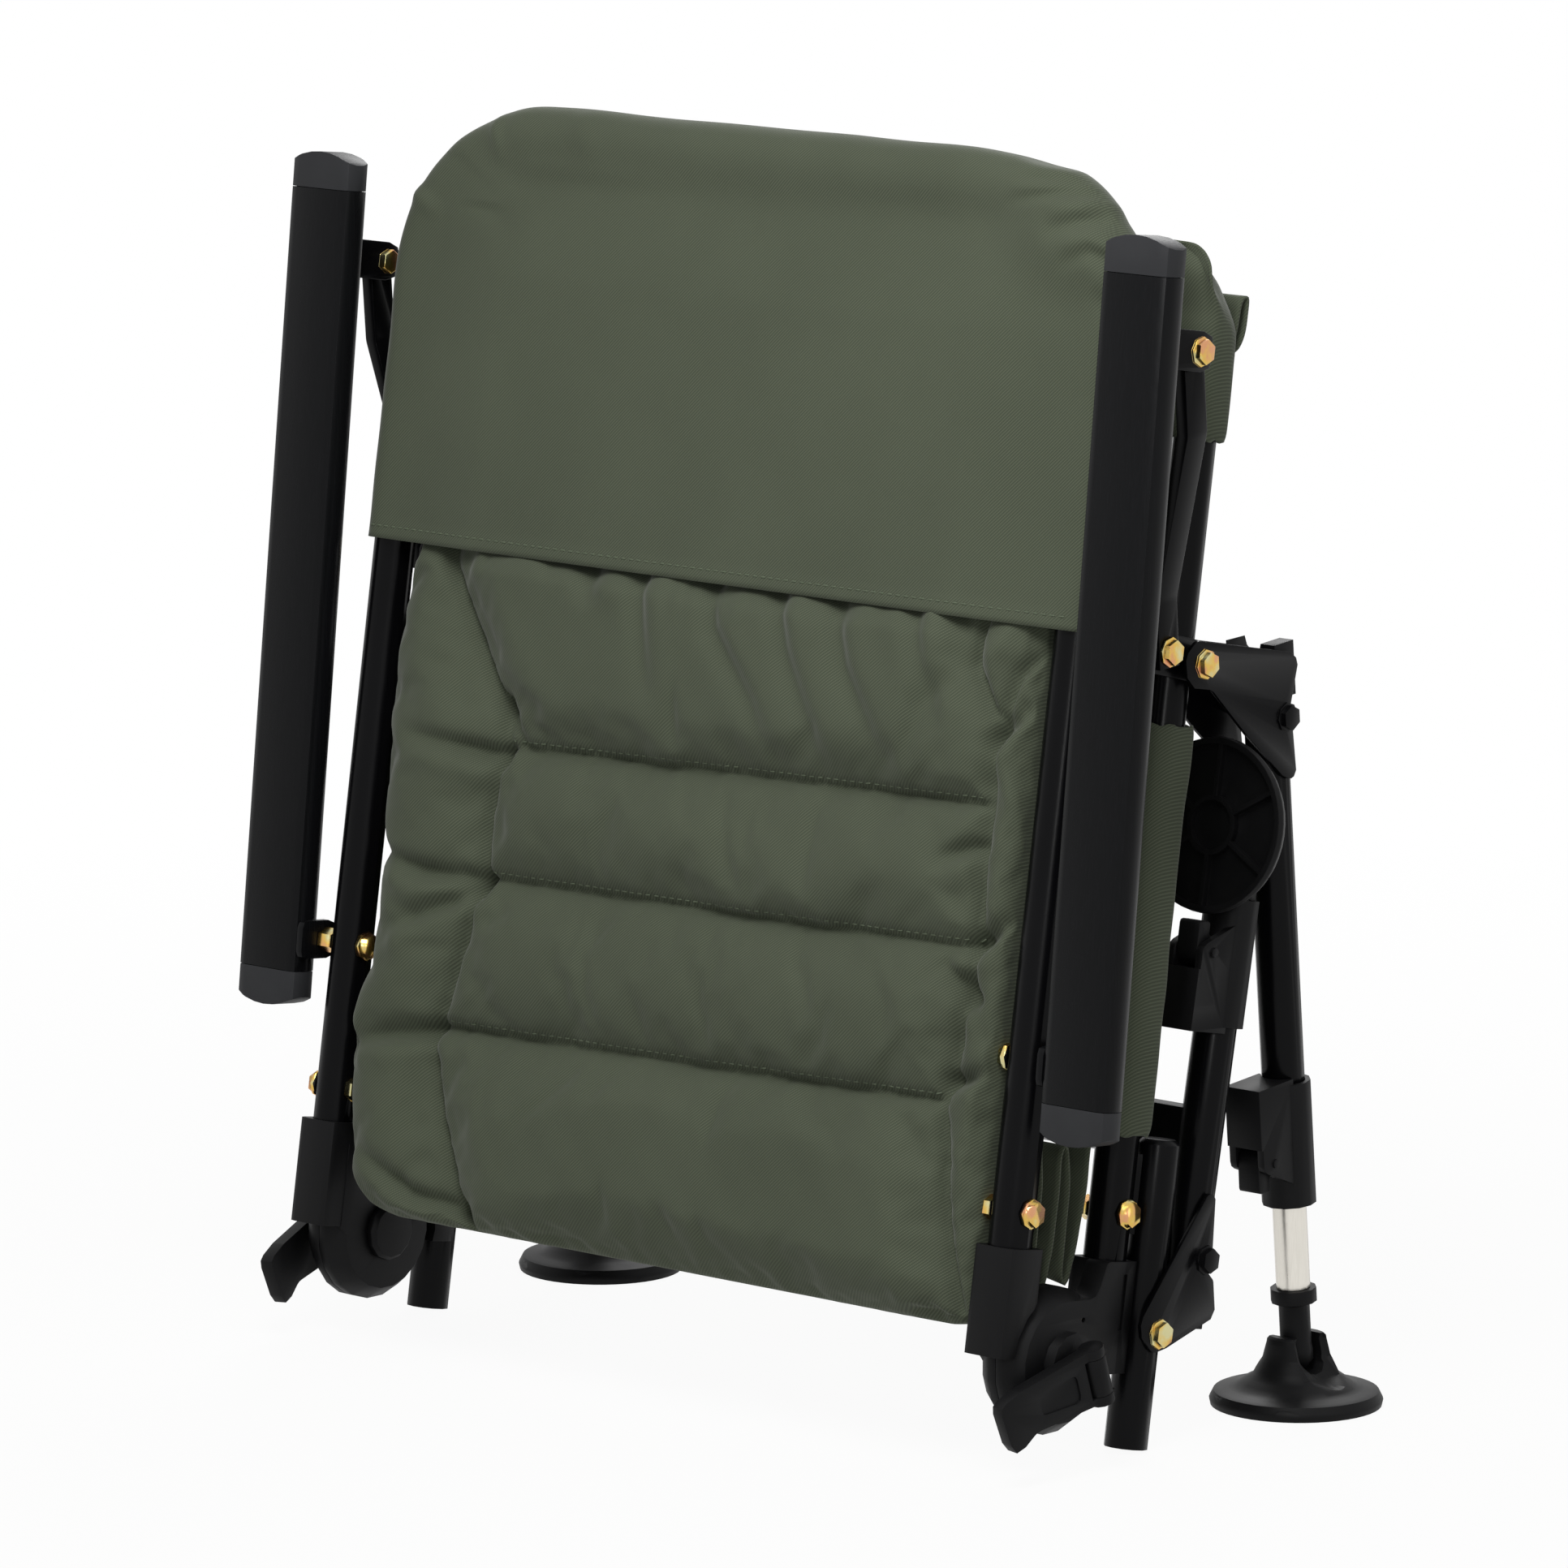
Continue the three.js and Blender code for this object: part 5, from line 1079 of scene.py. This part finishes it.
# %% [markdown]
# Where the seat meets the backrest, the cloth's slack edge hangs in folds between the tubes. It is one narrow
# strip on each side: a grid, bent along a folded path, the same path on both sides.
# %% Folded cloth at the hinges
FOLD_PATH = ((-15, 168), (-16, 130), (-19, 100), (-23, 86), (-28, 92), (-28, 120), (-31, 150), (-35, 156))
FOLD_PATH += ((-38, 146), (-36, 110), (-40, 84), (-46, 80), (-50, 90), (-50, 130), (-54, 160))
FOLD_X_MM = (207, 225)
FOLD_WALL_MM = 1.2
FOLD_FOOT_Q, FLARE_MM, FOLD_RIPPLE_MM = 95, 3, 1.3
for side_name, side in (("left", 1), ("right", -1)):
    strip, co = cloth_grid(f"hinge_fold_olive_{side_name}", 6, 110)
    p, q, length = along_path(FOLD_PATH, co[:, 1] + 0.5)
    wide = co[:, 0] + 0.5
    x = FOLD_X_MM[0] + wide * (FOLD_X_MM[1] - FOLD_X_MM[0])
    p = p + FOLD_RIPPLE_MM * wide * ripple(q / 14, 2)
    q = q - FLARE_MM * wide * (q < FOLD_FOOT_Q)
    seat_sheet(strip, side * x, p, q, FOLD_WALL_MM, 0)
print("folded strips have", len(strip.data.polygons), "faces each")

# %% [markdown]
# ## The studio
# The floor is plain white paper. To the eye it is lifted to pure white away from the chair, and a little less
# near it, so that the chair's own shadow is kept. Metal shows it lifted too, but it casts no more light.
# %% Floor
FLOOR_M = 60


def shown(tree):
    """1 for rays that show a surface to the eye, straight or in metal and glass, and 0 for falling light."""
    path = node(tree, "LightPath")
    rays = [path.outputs[f"Is {kind} Ray"] for kind in ("Camera", "Glossy", "Transmission")]
    seen = node(tree, "Math", {"operation": "MAXIMUM"}, {0: rays[0], 1: rays[1]})
    seen = node(tree, "Math", {"operation": "MAXIMUM"}, {0: seen.outputs["Value"], 1: rays[2]})
    return seen.outputs["Value"]


bpy.ops.mesh.primitive_plane_add(size=FLOOR_M)
floor = bpy.context.object
floor.name = "studio_floor"
paper, tree, shader, place = finish("white_paper_sweep", "#D9D9D7", 0.95)
shader.inputs["Specular IOR Level"].default_value = 0.0
glow = node(tree, "Emission", {"Strength": 1.0})
NEAR_M, FAR_M = 0.5, 1.6
NEAR_LIFT = 0.94
away = node(tree, "VectorMath", {"operation": "LENGTH"}, {0: place})
fade = {"From Min": NEAR_M, "From Max": FAR_M, "To Min": NEAR_LIFT, "To Max": 1.0}
white = node(tree, "MapRange", fade, {"Value": away.outputs["Value"]})
lift = node(tree, "Math", {"operation": "MULTIPLY"}, {0: white.outputs["Result"], 1: shown(tree)})
both = {0: lift.outputs["Value"], 1: shader.outputs["BSDF"], 2: glow.outputs["Emission"]}
mix = node(tree, "MixShader", {}, both)
tree.links.new(mix.outputs["Shader"], tree.nodes["Material Output"].inputs["Surface"])
floor.data.materials.append(paper)
print("floor:", FLOOR_M, "metres wide")

# %% [markdown]
# A near softbox, high in front, lights the chair's top more than its bottom. Two far lamps and a white sky
# fill in, a small lamp in front draws highlights along the tubes, and one behind lights the back. Together
# they are at a level where a colour renders about as it is written. A near lamp's strength and width are in
# watts and metres, and a far one's in watts per square metre and degrees.
# %% Sky and lamps
world = bpy.data.worlds.new("white_studio")
world.use_nodes = True
scene.world = world
tree = world.node_tree
sky = tree.nodes["Background"]
SKY_LIGHT = 0.26
bright = node(tree, "MapRange", {"To Min": SKY_LIGHT}, {"Value": shown(tree)})
tree.links.new(bright.outputs["Result"], sky.inputs["Strength"])
sky.inputs["Color"].default_value = (1, 1, 1, 1)
# Each lamp's name, kind, strength, width, place and the place that it is turned to.
LAMPS = (
    ("key_softbox", "AREA", 14, 0.6, (0.5, -0.85, 1.35), (0, -0.1, 0.45)),
    ("top_softbox", "SUN", 0.35, 24, (0.3, -0.7, 2.2), (0, 0, 0)),
    ("side_softbox", "SUN", 0.3, 30, (2.6, -0.3, 1.8), (0, 0, 0)),
    ("front_softbox", "AREA", 4, 0.2, (1.6, -1.7, 0.8), (0, 0, 0.35)),
    ("back_softbox", "AREA", 12, 0.7, (-0.75, 1.2, 1.3), (0, 0.05, 0.3)),
)
for name, kind, strength, wide, place, target in LAMPS:
    bpy.ops.object.light_add(type=kind, location=place)
    light = bpy.context.object
    light.name = name
    light.data.energy = strength
    light.rotation_euler = (Vector(target) - Vector(place)).to_track_quat("-Z", "Y").to_euler()
    if kind == "SUN":
        light.data.angle = math.radians(wide)
    else:
        light.data.size = wide

# %% [markdown]
# The camera stands where the photographer's did: low, to the chair's left front, with a long lens.
# %% Camera
CAMERA_AT = Vector((3.3734, -3.8560, 1.2019))
CAMERA_BACK = Vector((0.6505, -0.7396, 0.1726)).normalized()
CAMERA_RIGHT = Vector((0.7509, 0.6604, 0)).normalized()
CAMERA_UP = CAMERA_BACK.cross(CAMERA_RIGHT)
LENS_MM, SENSOR_MM = 234.6, 36
bpy.ops.object.camera_add()
camera = bpy.context.object
camera.data.lens = LENS_MM
camera.data.sensor_width = SENSOR_MM
axes = Matrix((CAMERA_RIGHT, CAMERA_UP, CAMERA_BACK)).transposed().to_4x4()
camera.matrix_world = Matrix.Translation(CAMERA_AT) @ axes
scene.camera = camera
scene.view_settings.view_transform = "Standard"
print("camera lens:", camera.data.lens)
